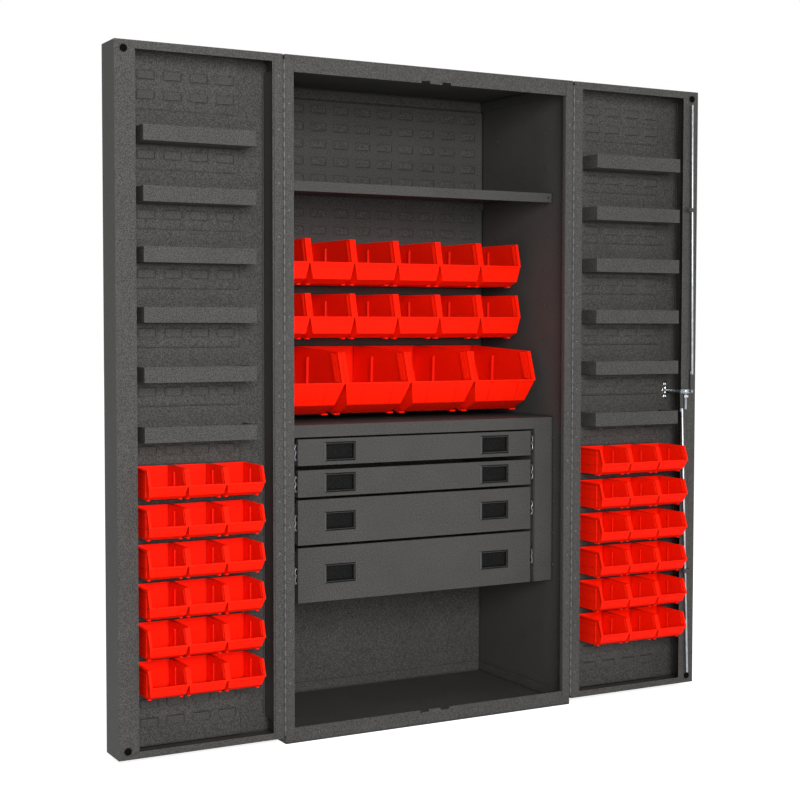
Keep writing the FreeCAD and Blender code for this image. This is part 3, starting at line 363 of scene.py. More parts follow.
def powder_coat(name, dark, light, worn_and_highlight, gloss=0.1, knuckle=None):
    """Textured powder coat: fine speckle, broad mottle, edges lighter from rubbed wear and a painted
    highlight, and painted shade in gaps.

    knuckle is the colour of the round part of a hinge, which stands in front of its leaves.
    """
    material, tree, shader = finish(name, Specular_IOR_Level=gloss)
    grain = group(tree, GRAIN, Fine_Scale=380.0, Broad_Scale=7.0)
    speckle = spread(tree, grain.outputs["Fine"], dark, light, low=0.35, high=0.65)
    mottle = spread(tree, grain.outputs["Broad"], 0.88, 1.0)
    coat = mixed(tree, 1.0, speckle, mottle, "MULTIPLY")
    if knuckle:
        barrel = node(tree, "ShaderNodeMath", operation="LESS_THAN")
        barrel.inputs[1].default_value = BARREL_BACK
        tree.links.new(along_axis(tree, "Y"), barrel.inputs[0])
        coat = mixed(tree, barrel.outputs[0], coat, mixed(tree, 0.5, speckle, knuckle))
    # lighter edges: partly rubbed wear, partly a painted highlight
    edges = group(tree, EDGES, Radius=0.0016, Breakup=0.3)
    coat = mixed(tree, edges.outputs["Mask"], coat, worn_and_highlight)
    # painted shade: gaps and inside corners darkened by the occlusion mask
    crevices = group(tree, CREVICES, Reach=0.009, Depth=0.3)
    coat = mixed(tree, crevices.outputs["Mask"], coat, PAINTED_GAP_SHADE)
    tree.links.new(coat, shader.inputs["Base Color"])
    tree.links.new(spread(tree, grain.outputs["Fine"], 0.48, 0.68), shader.inputs["Roughness"])
    bumped(tree, shader, grain.outputs["Fine"], distance=0.0005, strength=0.7)
    return material


def moulded_plastic(name, dark, light, rough, grain_scale, grain_depth, gloss, edge=None):
    """Moulded plastic: a fine skin, a slight change of colour, and, when an edge colour is given, edges
    painted lighter as a painted highlight and painted shade in gaps and corners.
    """
    material, tree, shader = finish(name, Specular_IOR_Level=gloss)
    grain = group(tree, GRAIN, Fine_Scale=grain_scale, Broad_Scale=14.0)
    colour = spread(tree, grain.outputs["Fine"], dark, light)
    if edge:
        edges = group(tree, EDGES, Radius=0.0014, Breakup=0.1)
        colour = mixed(tree, edges.outputs["Mask"], colour, edge)
        crevices = group(tree, CREVICES, Reach=0.01, Depth=0.3)
        colour = mixed(tree, crevices.outputs["Mask"], colour, tuple(CREVICE_SHADE * part for part in dark))
    tree.links.new(colour, shader.inputs["Base Color"])
    tree.links.new(spread(tree, grain.outputs["Broad"], *rough), shader.inputs["Roughness"])
    bumped(tree, shader, grain.outputs["Fine"], grain_depth)
    return material


def plated_steel(name, dark, light, rough, dark_band=None):
    """Plated steel, with the faint cloud of the plating and fine scratches.

    The last argument is (middle height, reach, colour) of a stretch along the height that is coloured darker.
    """
    material, tree, shader = finish(name, Metallic=1.0)
    grain = group(tree, GRAIN, Fine_Scale=450.0, Broad_Scale=60.0)
    colour = spread(tree, grain.outputs["Broad"], dark, light)
    if dark_band:
        middle, reach, tone = dark_band
        near = node(tree, "ShaderNodeMath", operation="COMPARE")
        near.inputs[1].default_value = middle
        near.inputs[2].default_value = reach
        tree.links.new(along_axis(tree, "Z"), near.inputs[0])
        colour = mixed(tree, near.outputs[0], colour, tone)
    tree.links.new(colour, shader.inputs["Base Color"])
    tree.links.new(spread(tree, grain.outputs["Fine"], *rough), shader.inputs["Roughness"])
    bumped(tree, shader, grain.outputs["Fine"], distance=0.0001)
    return material

DARK_GREY = (0.027, 0.026, 0.0245)
LIGHT_GREY = (0.088, 0.085, 0.080)
# edge colour of the coat: rubbed wear and a painted highlight together
WORN_AND_HIGHLIGHT_GREY = (0.12, 0.117, 0.111)
GREY = powder_coat("GreyPowderCoat", DARK_GREY, LIGHT_GREY, WORN_AND_HIGHLIGHT_GREY)
POST_HINGE = powder_coat(
    "PostHinge", DARK_GREY, LIGHT_GREY, WORN_AND_HIGHLIGHT_GREY, gloss=0.15, knuckle=(0.08, 0.08, 0.077)
)
# the door leaves' knuckles are painted lighter than the post's: a painted highlight on the barrel
DOOR_HINGE = powder_coat(
    "DoorHinge", DARK_GREY, LIGHT_GREY, WORN_AND_HIGHLIGHT_GREY, gloss=0.12, knuckle=(0.19, 0.19, 0.187)
)
# a lighter grey finish for the bent edges inside the doors: a painted highlight
SEAM = powder_coat(
    "PaintedHighlightEdge", dark=(0.07, 0.069, 0.067), light=(0.14, 0.14, 0.137), worn_and_highlight=(0.26, 0.26, 0.255), gloss=0.3
)
WELD = powder_coat(
    "WeldSpots", dark=(0.06, 0.059, 0.056), light=(0.13, 0.127, 0.123), worn_and_highlight=(0.21, 0.21, 0.203), gloss=0.3
)
# edge is a painted highlight: the lips and edges of the red bins painted lighter
RED = moulded_plastic(
    "RedPlastic", dark=(0.84, 0.006, 0.0006), light=(1.0, 0.013, 0.001), rough=(0.4, 0.55),
    grain_scale=300.0, grain_depth=0.0001, gloss=0.07, edge=(1.0, 0.045, 0.01),
)
# a darker red for the raised card lines: painted shade standing for the shade in the grooves round the card
RED_LINE = moulded_plastic(
    "RedPaintedGrooveShade", dark=(0.62, 0.005, 0.001), light=(0.7, 0.008, 0.001), rough=(0.5, 0.6),
    grain_scale=500.0, grain_depth=0.00005, gloss=0.1,
)
BLACK = moulded_plastic(
    "BlackPlastic", dark=(0.0006, 0.0006, 0.0006), light=(0.012, 0.0122, 0.0125), rough=(0.5, 0.7),
    grain_scale=280.0, grain_depth=0.0006, gloss=0.05,
)
# a lighter grey on the left bevel of each pull only: a painted highlight
BEZEL = moulded_plastic(
    "PullBezelHighlight", dark=(0.045, 0.045, 0.044), light=(0.07, 0.07, 0.069), rough=(0.4, 0.5),
    grain_scale=500.0, grain_depth=0.0001, gloss=0.15,
)
RUBBER = moulded_plastic(
    "BlackRubber", dark=(0.0008, 0.0008, 0.0008), light=(0.004, 0.004, 0.004), rough=(0.7, 0.85),
    grain_scale=600.0, grain_depth=0.0003, gloss=0.03,
)
ZINC = plated_steel("ZincPlate", dark=(0.50, 0.52, 0.53), light=(0.74, 0.76, 0.78), rough=(0.28, 0.44))
PLATED = plated_steel("PlatedLock", dark=(0.55, 0.55, 0.55), light=(0.75, 0.75, 0.75), rough=(0.12, 0.24))
DULL_ZINC = plated_steel("DullZinc", dark=(0.44, 0.45, 0.46), light=(0.64, 0.65, 0.66), rough=(0.35, 0.5))
HANDLE = plated_steel("PlatedHandle", dark=(0.26, 0.26, 0.26), light=(0.38, 0.38, 0.38), rough=(0.28, 0.42))
SHADED_ZINC = plated_steel(
    "ShadedZinc", dark=(0.05, 0.052, 0.054), light=(0.10, 0.102, 0.105), rough=(0.4, 0.55)
)
# the rod is coloured darker over a stretch near the spindle's height
ROD = plated_steel(
    "RodZinc", dark=(0.24, 0.255, 0.27), light=(0.38, 0.40, 0.415), rough=(0.3, 0.45),
    dark_band=(0.918, 0.052, (0.07, 0.07, 0.069)),
)
SPINDLE_STEEL = plated_steel(
    "SpindleSteel", dark=(0.20, 0.22, 0.235), light=(0.34, 0.37, 0.39), rough=(0.25, 0.4)
)


# mesh helpers

AXES = {"x": Vector((1, 0, 0)), "y": Vector((0, 1, 0)), "z": Vector((0, 0, 1))}
WELD_WITHIN = 0.01
SHARP_ANGLE = 32
BEVEL_SEGMENTS = 2
ROUND_UNDER = 60


def soften(piece, width):
    """Round the edges of a piece by a width in millimetres, as bent sheet and moulded plastic are rounded."""
    weld = piece.modifiers.new("Weld", "WELD")
    weld.merge_threshold = WELD_WITHIN * MILLIMETRE
    bevel = piece.modifiers.new("Edges", "BEVEL")
    bevel.width = width * MILLIMETRE
    bevel.segments = BEVEL_SEGMENTS
    bevel.limit_method = "ANGLE"
    bevel.angle_limit = math.radians(SHARP_ANGLE)


def new_piece(name, form, body, materials, rounding=0.0, smooth_under=0.0):
    """Finish a bmesh as a piece that rides on a body. Edges under an angle in degrees may be smoothed."""
    bmesh.ops.recalc_face_normals(form, faces=form.faces)
    mesh = bpy.data.meshes.new(name)
    form.to_mesh(mesh)
    form.free()
    mesh.transform(Matrix.Scale(MILLIMETRE, 4))
    if smooth_under:
        mesh.shade_smooth()
        mesh.set_sharp_from_angle(angle=math.radians(smooth_under))
    piece = bpy.data.objects.new(name, mesh)
    bpy.context.scene.collection.objects.link(piece)
    for material in materials:
        mesh.materials.append(material)
    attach(piece, body)
    if rounding:
        soften(piece, rounding)
    return piece


def hull(form, near, far):
    """A closed solid between two outlines with the same number of corners."""
    first = [form.verts.new(corner) for corner in near]
    second = [form.verts.new(corner) for corner in far]
    form.faces.new(first)
    form.faces.new(second)
    for place in range(len(first)):
        following = (place + 1) % len(first)
        form.faces.new((first[place], first[following], second[following], second[place]))


def thickened(form, outline, direction, below, above):
    """A closed solid from a flat outline, that reaches below and above it along a direction."""
    low = [corner - below * direction for corner in outline]
    high = [corner + above * direction for corner in outline]
    hull(form, low, high)


def prism(form, outline, low, high, axis, place=Matrix()):
    """A solid from an outline of the two coordinates across an axis, from low to high along that axis."""
    def corner(pair, along):
        values = list(pair)
        values.insert("xyz".index(axis), along)
        return place @ Vector(values)

    hull(form, [corner(pair, low) for pair in outline], [corner(pair, high) for pair in outline])


def circle(form, centre, radius, across, other, sides):
    """A ring of corners round a centre, in the plane of two directions."""
    ring = []
    for side in range(sides):
        angle = 2 * math.pi * side / sides
        ring.append(form.verts.new(centre + radius * (math.cos(angle) * across + math.sin(angle) * other)))
    return ring


def turned(form, profile, centre, axis, sides):
    """A solid of revolution. profile has (place along the axis, radius) and begins and ends on the axis."""
    along = AXES[axis]
    across = AXES["z" if axis != "z" else "x"]
    other = along.cross(across)
    rings = []
    for place, radius in profile:
        point = Vector(centre) + along * place
        rings.append(circle(form, point, radius, across, other, sides) if radius else [form.verts.new(point)])
    for first, second in zip(rings, rings[1:]):
        for side in range(sides):
            following = (side + 1) % sides
            corners = []
            for ring, sequence in ((first, (side, following)), (second, (following, side))):
                corners += [ring[0]] if len(ring) == 1 else [ring[place] for place in sequence]
            form.faces.new(corners)


WIRE_SIDES = 8


def wire(form, points, radius):
    """A round wire along a list of points."""
    points = [Vector(point) for point in points]
    rings = []
    across = None
    for place, point in enumerate(points):
        before = points[max(place - 1, 0)]
        after = points[min(place + 1, len(points) - 1)]
        along = (after - before).normalized()
        across = across - along * across.dot(along) if rings else along.orthogonal()
        across.normalize()
        rings.append(circle(form, point, radius, across, along.cross(across), WIRE_SIDES))
    for first, second in zip(rings, rings[1:]):
        for side in range(WIRE_SIDES):
            following = (side + 1) % WIRE_SIDES
            form.faces.new((first[side], first[following], second[following], second[side]))
    form.faces.new(rings[0])
    form.faces.new(rings[-1])


RIVET_STEPS = 4
RIVET_SIDES = 12
RIVET_ROOT_SHARE = 0.4


def rivet(form, centre, radius, height):
    """A low domed head that stands in front of a face."""
    root = RIVET_ROOT_SHARE * height
    profile = [(root, 0), (root, radius)]
    for step in range(RIVET_STEPS + 1):
        angle = math.pi / 2 * step / RIVET_STEPS
        profile.append((-height * math.sin(angle), radius * math.cos(angle)))
    profile[-1] = (profile[-1][0], 0)
    turned(form, profile, centre, "y", RIVET_SIDES)


def middle_height(name):
    """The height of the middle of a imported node, in millimetres."""
    low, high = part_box(name)
    return (low[2] + high[2]) / 2 / MILLIMETRE


def joined(name):
    """A name such as left_door as LeftDoor."""
    return name.title().replace("_", "")


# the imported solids: finishes and rounded edges

DRAWERS = ("one", "two", "three", "four")
DOORS = ((-1, "left_door"), (1, "right_door"))
BY_SLOT = {
    "grey_paint": GREY, "red_plastic": RED, "zinc": ZINC,
    "plated_lock": PLATED, "black_plastic": BLACK, "black_rubber": RUBBER,
}
BY_WORDS = {
    "hinge_cabinet_leaf": POST_HINGE, "hinge_door_leaf": DOOR_HINGE,
    "upper_lock_rod": ROD, "lower_lock_rod": ROD, "lock_spindle": SPINDLE_STEEL,
    "lock_handle": HANDLE, "lock_plate": HANDLE, "slide_": SHADED_ZINC,
}
ROUNDING = {
    "side_panel": 0.8, "top_panel": 0.8, "floor_panel": 0.8, "adjustable_shelf": 0.7, "drawer_unit": 0.8,
    "filler": 0.8, "door_shell": 0.8, "door_stiffener": 0.6, "door_trays": 0.55, "door_bins": 0.7,
    "bin_row": 0.9, "large_bin": 1.2, "lock_handle": 2.5, "lock_plate": 1.6, "lock_spindle": 0.8,
    "rod_guides": 0.5, "lock_rod": 0.6,
}
DRAWER_ROUNDING = 1.0
slot_of = {entry["node"]: entry["material_slot"] for entry in frame["record"]["subparts"]}

for name, piece in nodes.items():
    piece.data.materials.clear()
    special = [material for words, material in BY_WORDS.items() if words in name]
    piece.data.materials.append(special[0] if special else BY_SLOT[slot_of[name]])
    for words, width in ROUNDING.items():
        if words in name:
            soften(piece, width)
for order in DRAWERS:
    soften(nodes[f"drawer_{order}"], DRAWER_ROUNDING)


# hanging bins: label lines, feet, divider ribs and stiff front corners

# foot is its width and height, rib is proud, thick and down from the rim, and cheek is deep and proud.
# label is where a card begins and ends, and ridges is where lines run down the cheek, as shares.
BINS = {
    "small": {
        "width": 104.8, "length": 136.5, "height": 76.2, "lip": 35, "slope": 15, "chin": 9, "lean": 12,
        "chin_run": 20, "taper": 6, "flange": 4.5, "wall": 1.8, "foot": (9, 3), "rib": (3.2, 5, 16),
        "cheek": (8, 1.6), "ridges": (0.5,), "label": (0.14, 0.86),
    },
    "medium": {
        "width": 139.7, "length": 276.2, "height": 127, "lip": 61, "slope": 17, "chin": 13, "lean": 4,
        "chin_run": 42, "taper": 11, "flange": 6.5, "wall": 2.2, "foot": (13, 3.4), "rib": (5, 7, 24),
        "cheek": (16, 2.6), "ridges": (0.5,), "label": (0.12, 0.9),
    },
    "large": {
        "width": 209.6, "length": 364, "height": 177.8, "lip": 95, "slope": 32, "chin": 30, "lean": 28,
        "chin_run": 66, "taper": 19, "flange": 8, "wall": 2.8, "foot": (20, 4), "rib": (7, 9, 30),
        "cheek": (34, 5), "ridges": (0.35, 0.66), "label": (0.28, 0.73),
    },
}
BIN_RIM = 3.5
BIN_BEAD = 1.6
BIN_ROUNDING = 0.35


def on_front(given, x, down):
    """A point on the front face of a bin: x across, and down from 0 at the lip to 1 at the chin."""
    y = BIN_BEAD - given["length"] + given["lean"] * down
    z = given["lip"] - given["height"] + (given["chin"] - given["lip"]) * down
    return Vector((x, y, z))


FRONT_LINE_ROOT = 0.3
# how proud and how wide the lines are on a large bin, and on the others
LARGE_LINE = (0.5, 1.2)
FRAME_LINE = (0.3, 0.8)
LARGE_LINE_ENDS = (0.06, 0.97)
# the inset of each frame, and its top and bottom
CARD_FRAMES = ((0, 0.14, 0.9), (0.09, 0.24, 0.8))


def front_line(form, given, start, end, across, proud, line):
    """A fine moulded line on the front face between two points (x, down)."""
    normal = Vector((0, given["chin"] - given["lip"], -given["lean"])).normalized()
    first, last = (on_front(given, *point) for point in (start, end))
    side = across * line / 2
    thickened(form, [first - side, last - side, last + side, first + side], normal, FRONT_LINE_ROOT, proud)


def label_lines(form, size, given):
    """The lines round the place for a card: two upright ones on a large bin, a frame on the others."""
    left, right = ((share - 0.5) * given["width"] for share in given["label"])
    if size == "large":
        top, bottom = LARGE_LINE_ENDS
        for x in (left, right):
            front_line(form, given, (x, top), (x, bottom), AXES["x"], *LARGE_LINE)
        return
    up_axis = on_front(given, 0, 0) - on_front(given, 0, 1)
    up_axis.normalize()
    for inset, top, bottom in CARD_FRAMES:
        near = left + inset * given["width"]
        far = right - inset * given["width"]
        for x in (near, far):
            front_line(form, given, (x, top), (x, bottom), AXES["x"], *FRAME_LINE)
        for down in (top, bottom):
            front_line(form, given, (near, down), (far, down), up_axis, *FRAME_LINE)


FOOT_ROOT = 0.5
FOOT_INSET = 1
FOOT_DRAFT = 1.5
FOOT_FRONT = -2
FOOT_BACK = 16


def bin_feet(form, given):
    """Two short feet under the bottom front corners, for stacking."""
    long, tall = given["foot"]
    front = BIN_BEAD - given["length"] + given["lean"] + given["chin_run"]
    half = given["width"] / 2 - given["flange"]
    for side in (-1, 1):
        outer, inner = side * (half - FOOT_INSET), side * (half - FOOT_INSET - long)
        draft = side * FOOT_DRAFT
        outline = [(outer, FOOT_ROOT), (inner, FOOT_ROOT), (inner + draft, -tall), (outer - draft, -tall)]
        place = Matrix.Translation((0, 0, -given["height"]))
        prism(form, outline, front + FOOT_FRONT, front + FOOT_BACK, "y", place)


RIB_SHARE = 0.38
RIB_ROOT = 0.5
RIB_CHAMFER = 1
# how far the top of a rib keeps its proud part, its root and its thickness, as shares
RIB_TOP = (0.6, 0.4, 0.7)


def divider_ribs(form, given):
    """An upright rib on each side wall, that holds a divider. Its top is rounded over."""
    proud, thick, drop = given["rib"]
    proud_share, root_share, thick_share = RIB_TOP
    wall = given["width"] / 2 - given["flange"] - given["wall"]
    middle = -RIB_SHARE * given["length"]
    floor = given["wall"] - given["height"]
    half = thick / 2
    flat = half - RIB_CHAMFER
    section = [(RIB_ROOT, -half), (-proud, -flat), (-proud, flat), (RIB_ROOT, half)]
    for side in (-1, 1):
        top = [(side * (wall + out), middle + along, -drop) for out, along in section]
        neck = []
        for out, along in section:
            x = side * (wall + proud_share * min(out, 0) + root_share * max(out, 0))
            neck.append((x, middle + thick_share * along, proud - drop))
        bottom = [(x, y, floor) for x, y, z in top]
        hull(form, bottom, top)
        hull(form, top, neck)


CHEEK_ROOT = 0.4
RIDGE_PROUD = 0.9
RIDGE_HALF = 0.6


def front_cheeks(form, given):
    """The thicker strip of each side wall along the sloped front edge, between the lip and the rim."""
    deep, proud = given["cheek"]
    wall = given["width"] / 2 - given["flange"] - given["wall"]
    lip = given["lip"] - given["height"]
    ends = (
        (BIN_RIM + BIN_BEAD - given["length"], lip),
        (given["slope"] + BIN_RIM - given["length"], -BIN_RIM),
    )
    for side in (-1, 1):
        edge = side * (wall + CHEEK_ROOT)
        ridge = side * (wall - proud)
        hull(form, *([(edge, y, z), (ridge, y + deep, z), (edge, y + deep, z)] for y, z in ends))
        for share in given["ridges"]:
            out = side * (wall - proud * share)
            rise = side * RIDGE_PROUD
            outlines = []
            for y, z in ends:
                near, far = y + deep * share - RIDGE_HALF, y + deep * share + RIDGE_HALF
                outlines.append([
                    (out + rise, near, z), (out - rise, near, z), (out - rise, far, z), (out + rise, far, z),
                ])
            hull(form, *outlines)


LEDGE_ROOT = 0.4
LEDGE_LEVELS = (-0.22, -0.62)
LEDGE_FRONT_SHARE = 0.86
LEDGE_BACK = -8
# the outline of a ledge and of a post: how far it stands out, and the place along the wall
LEDGE_OUTLINE = ((-LEDGE_ROOT, 0), (1.3, -0.8), (1.3, -2.2), (-LEDGE_ROOT, -3))
POST_OUTLINE = ((-LEDGE_ROOT, -3), (1.5, -2), (1.5, 2), (-LEDGE_ROOT, 3))
POST_SHARE = 0.72
POST_FOOT = 6
POST_TOP = -5


def side_ledges(form, given):
    """Two long ribs and an upright post on the outside of each side wall of a small bin."""
    half = given["width"] / 2 - given["flange"]
    for side in (-1, 1):
        for level in LEDGE_LEVELS:
            outline = [(side * (half + out), level * given["height"] + up) for out, up in LEDGE_OUTLINE]
            prism(form, outline, -LEDGE_FRONT_SHARE * given["length"], LEDGE_BACK, "y")
        outline = [(side * (half + out), along - POST_SHARE * given["length"]) for out, along in POST_OUTLINE]
        prism(form, outline, POST_FOOT - given["height"], POST_TOP, "z")


CHIN_RIBS = 6
CHIN_RIB_INSET = 6
CHIN_RIB_SHIFT = 0.3
CHIN_RIB_START = 0.06
CHIN_RIB_RUN = 0.86
CHIN_RIB_SLANT = Vector((-16, 0, 0))
CHIN_RIB_HALF = Vector((0.8, 0, 0))
CHIN_RIB_ROOT = 0.4
CHIN_RIB_PROUD = 0.9


def chin_ribs(form, given):
    """Slanting ribs on the sloped underside of a large bin."""
    front = BIN_BEAD - given["length"] + given["lean"]
    half = given["width"] / 2 - given["taper"] - CHIN_RIB_INSET
    down = Vector((0, given["chin_run"], -given["chin"]))
    outward = Vector((0, -given["chin"], -given["chin_run"])).normalized()
    side = CHIN_RIB_HALF
    for order in range(CHIN_RIBS):
        x = -half + 2 * half * (order + CHIN_RIB_SHIFT) / CHIN_RIBS
        start = Vector((x, front, given["chin"] - given["height"])) + down * CHIN_RIB_START
        end = start + down * CHIN_RIB_RUN + CHIN_RIB_SLANT
        outline = [start - side, start + side, end + side, end - side]
        thickened(form, outline, outward, CHIN_RIB_ROOT, CHIN_RIB_PROUD)


def trim_bin(name, size, place, body):
    """All the added detail of one bin. place turns and moves from the middle of its rear top edge."""
    given = BINS[size]
    ribs = bmesh.new()
    bin_feet(ribs, given)
    divider_ribs(ribs, given)
    front_cheeks(ribs, given)
    if size == "small":
        side_ledges(ribs, given)
    if size == "large":
        chin_ribs(ribs, given)
    bmesh.ops.transform(ribs, matrix=place, verts=ribs.verts)
    new_piece(f"{name}Ribs", ribs, body, [RED], BIN_ROUNDING)
    lines = bmesh.new()
    label_lines(lines, size, given)
    bmesh.ops.transform(lines, matrix=place, verts=lines.verts)
    new_piece(f"{name}CardLines", lines, body, [RED_LINE])


BIN_BACK = 240.3
MEDIUM_LEVELS = {"Upper": 1363.6, "Middle": 1209.1}
MEDIUM_COUNT = 6
MEDIUM_PITCH = 140.5
LARGE_LEVEL = 1054.6
LARGE_COUNT = 4
LARGE_PITCH = 211
LARGE_TILT = math.radians(2.2)
SMALL_BACK = -171.6
SMALL_MIDDLE = 694.2
SMALL_PITCH = 105.4
SMALL_LEVEL = 754.5
SMALL_ROWS = 6
SMALL_ROW_PITCH = 101.6

for row_name, level in MEDIUM_LEVELS.items():
    for order in range(MEDIUM_COUNT):
        x = MEDIUM_PITCH * (order - (MEDIUM_COUNT - 1) / 2)
        trim_bin(f"{row_name}Bin{order + 1}", "medium", Matrix.Translation((x, BIN_BACK, level)), "cabinet")
for order in range(LARGE_COUNT):
    x = LARGE_PITCH * (order - (LARGE_COUNT - 1) / 2)
    spot = Matrix.Translation((x, BIN_BACK, LARGE_LEVEL)) @ Matrix.Rotation(LARGE_TILT, 4, "X")
    trim_bin(f"LargeBin{order + 1}", "large", spot, f"large_bin_{order + 1}")
for side, door in DOORS:
    for row in range(SMALL_ROWS):
        for order in (-1, 0, 1):
            x = side * SMALL_MIDDLE + SMALL_PITCH * order
            spot = Matrix.Translation((x, SMALL_BACK, SMALL_LEVEL - SMALL_ROW_PITCH * row))
            trim_bin(f"{joined(door)}Bin{row + 1}_{order + 2}", "small", spot, door)


# drawer pulls: a deep grained cup in a thin rim, with a broad bevelled edge on its left

PULL_HALF_WIDTH = 48.5
PULL_HALF_HEIGHT = 26.5
PULL_X = 251
PULL_ROUNDING = 0.5
DRAWER_FACE = -163.2
# from the rim to the bottom of the cup: insets from the left, right, bottom and top edges, and the depth
PULL_STEPS = (
    ((0, 0, 0, 0), 0), ((1.0, 0.6, 0.6, 0.6), -1.2), ((2.0, 1.0, 1.0, 1.0), -1.5),
    ((6.4, 1.8, 2.2, 1.8), -1.4), ((7.6, 3.4, 3.6, 3.4), 0.2), ((8.4, 5.6, 6.0, 5.6), 3),
    ((9.4, 6.6, 8.0, 6.6), 9),
)
PULL_RIM_STEPS = 3
PULL_LEFT = 3
PULL_COLLAR = (5.6, 5.6, 5.6, 5.6)
PULL_DEPTH = 11


def pull_ring(form, x, z, insets, y):
    """The four corners of one step of a pull."""
    left, right, bottom, top = insets
    low_x, high_x = x - PULL_HALF_WIDTH + left, x + PULL_HALF_WIDTH - right
    low_z, high_z = z - PULL_HALF_HEIGHT + bottom, z + PULL_HALF_HEIGHT - top
    corners = ((low_x, low_z), (high_x, low_z), (high_x, high_z), (low_x, high_z))
    return [form.verts.new((across, DRAWER_FACE + y, up)) for across, up in corners]


def pull_cup(form, x, z):
    """A pull with its collar, the second material on the broad bevel of its left edge: a lighter grey that is
    a painted highlight.
    """
    rings = [pull_ring(form, x, z, insets, y) for insets, y in PULL_STEPS]
    for step, (first, second) in enumerate(zip(rings, rings[1:])):
        for place in range(4):
            following = (place + 1) % 4
            face = form.faces.new((first[place], first[following], second[following], second[place]))
            face.material_index = 1 if place == PULL_LEFT and step < PULL_RIM_STEPS else 0
    form.faces.new(rings[-1])
    back = pull_ring(form, x, z, PULL_COLLAR, PULL_DEPTH)
    collar = pull_ring(form, x, z, PULL_COLLAR, 0)
    form.faces.new(back)
    for place in range(4):
        following = (place + 1) % 4
        form.faces.new((back[place], back[following], collar[following], collar[place]))
        form.faces.new((collar[place], collar[following], rings[0][following], rings[0][place]))


for order in DRAWERS:
    form = bmesh.new()
    for x in (-PULL_X, PULL_X):
        pull_cup(form, x, middle_height(f"drawer_{order}_pulls"))
    cups = new_piece(f"Drawer{order.title()}Pulls", form, f"drawer_{order}", [BLACK, BEZEL])
    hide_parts(f"drawer_{order}_pulls")
    soften(cups, PULL_ROUNDING)


# the bright front ends of the drawer slides, seen in the gaps beside the drawers

SLIDE_FRONT = -160.6
CURL_X = 382.0
CURL_SHIFT = 10.5
CURL_REACH = 4.2
CURL_TALL = 17
CURL_RADIUS = 0.6
CURL_ANGLES = range(-80, 81, 20)
# the small bend between the two curls: its foot, its tip, half its height and its thickness
BEND_X = 381.4
BEND_TIP_X = 384.8
BEND_HALF = 3
BEND_RADIUS = 0.55


def curl(form, x, z, opening):
    """A curled edge of a slide member, an arc that opens to one side."""
    points = []
    for degrees in CURL_ANGLES:
        angle = math.radians(degrees)
        across = x + opening * CURL_REACH * math.cos(angle)
        points.append((across, SLIDE_FRONT, z + CURL_TALL / 2 * math.sin(angle)))
    wire(form, points, CURL_RADIUS)


for order in DRAWERS:
    middle = middle_height(f"drawer_{order}_slide_middle_member")
    form = bmesh.new()
    for side in (-1, 1):
        for shift in (-CURL_SHIFT, CURL_SHIFT):
            curl(form, side * CURL_X, middle + shift, side)
        wire(form, [
            (side * BEND_X, SLIDE_FRONT, middle - BEND_HALF),
            (side * BEND_TIP_X, SLIDE_FRONT, middle),
            (side * BEND_X, SLIDE_FRONT, middle + BEND_HALF),
        ], BEND_RADIUS)
    new_piece(
        f"Drawer{order.title()}SlideEnds", form, f"drawer_{order}_middle_slides", [DULL_ZINC],
        smooth_under=ROUND_UNDER,
    )


# rivets and weld spots

HINGE_RIVET_COUNT = 13
HINGE_RIVET_PITCH = 139.7
HINGE_RIVET_FIRST = 94
HINGE_RIVET_RADIUS = 2.6
HINGE_RIVET_HIGHEST = 1800
HINGE_RIVET_LOWEST = 40
LEAF_FACE = -258.4
LEAF_RIVET = 0.5
LEAF_MIDDLE = 475
POST_MIDDLE = 445
PANEL_FACE = -167.1
PANEL_MIDDLE = 698.2
PANEL_RIVET_SIDE = 72.5
PANEL_RIVET_RADIUS = 1.8
PANEL_RIVET_HEIGHT = 0.9
LOUVER_FIRST = 1759.35
LOUVER_PITCH = 50.8
# the heights of the panel's rivets, counted in rows of louvers down from the first
PANEL_RIVET_ROWS = (0.62, 1.62, 12.62, 18.62, 25.62, 31.62, 32.62)
for side, door in DOORS:
    on_door, on_post, on_panel = bmesh.new(), bmesh.new(), bmesh.new()
    for order in range(HINGE_RIVET_COUNT):
        level = HINGE_RIVET_FIRST + HINGE_RIVET_PITCH * order
        between = level - HINGE_RIVET_PITCH / 2
        if level < HINGE_RIVET_HIGHEST:
            rivet(on_door, (side * LEAF_MIDDLE, LEAF_FACE, level), HINGE_RIVET_RADIUS, LEAF_RIVET)
        if between > HINGE_RIVET_LOWEST:
            rivet(on_post, (side * POST_MIDDLE, LEAF_FACE, between), HINGE_RIVET_RADIUS, LEAF_RIVET)
    for row in PANEL_RIVET_ROWS:
        for column in (-1, 1):
            x = side * (PANEL_MIDDLE + column * PANEL_RIVET_SIDE)
            level = LOUVER_FIRST - LOUVER_PITCH * row
            rivet(on_panel, (x, PANEL_FACE, level), PANEL_RIVET_RADIUS, PANEL_RIVET_HEIGHT)
    for words, form, body in (
        ("HingeRivets", on_door, door), ("PostRivets", on_post, "cabinet"), ("PanelRivets", on_panel, door),
    ):
        new_piece(joined(door) + words, form, body, [WELD], smooth_under=ROUND_UNDER)

WELD_PROFILE = ((-2.4, 0), (-2.1, 1.5), (0, 2.6), (2.1, 1.5), (2.4, 0))
WELD_LEVELS = (405, 500, 595, 690, 785)
# the X and Y of each line of weld spots on the side walls, and how far it is down from the levels
WELD_LINES = ((454.8, -171, 0), (455, -205, 40))
WELD_SIDES = 10
welds = bmesh.new()
for level in WELD_LEVELS:
    for side in (-1, 1):
        for x, y, down in WELD_LINES:
            turned(welds, WELD_PROFILE, (side * x, y, level - down), "z", WELD_SIDES)
new_piece("SideWelds", welds, "cabinet", [WELD], smooth_under=ROUND_UNDER)


# bent edges inside the doors, in a lighter grey that is a painted highlight

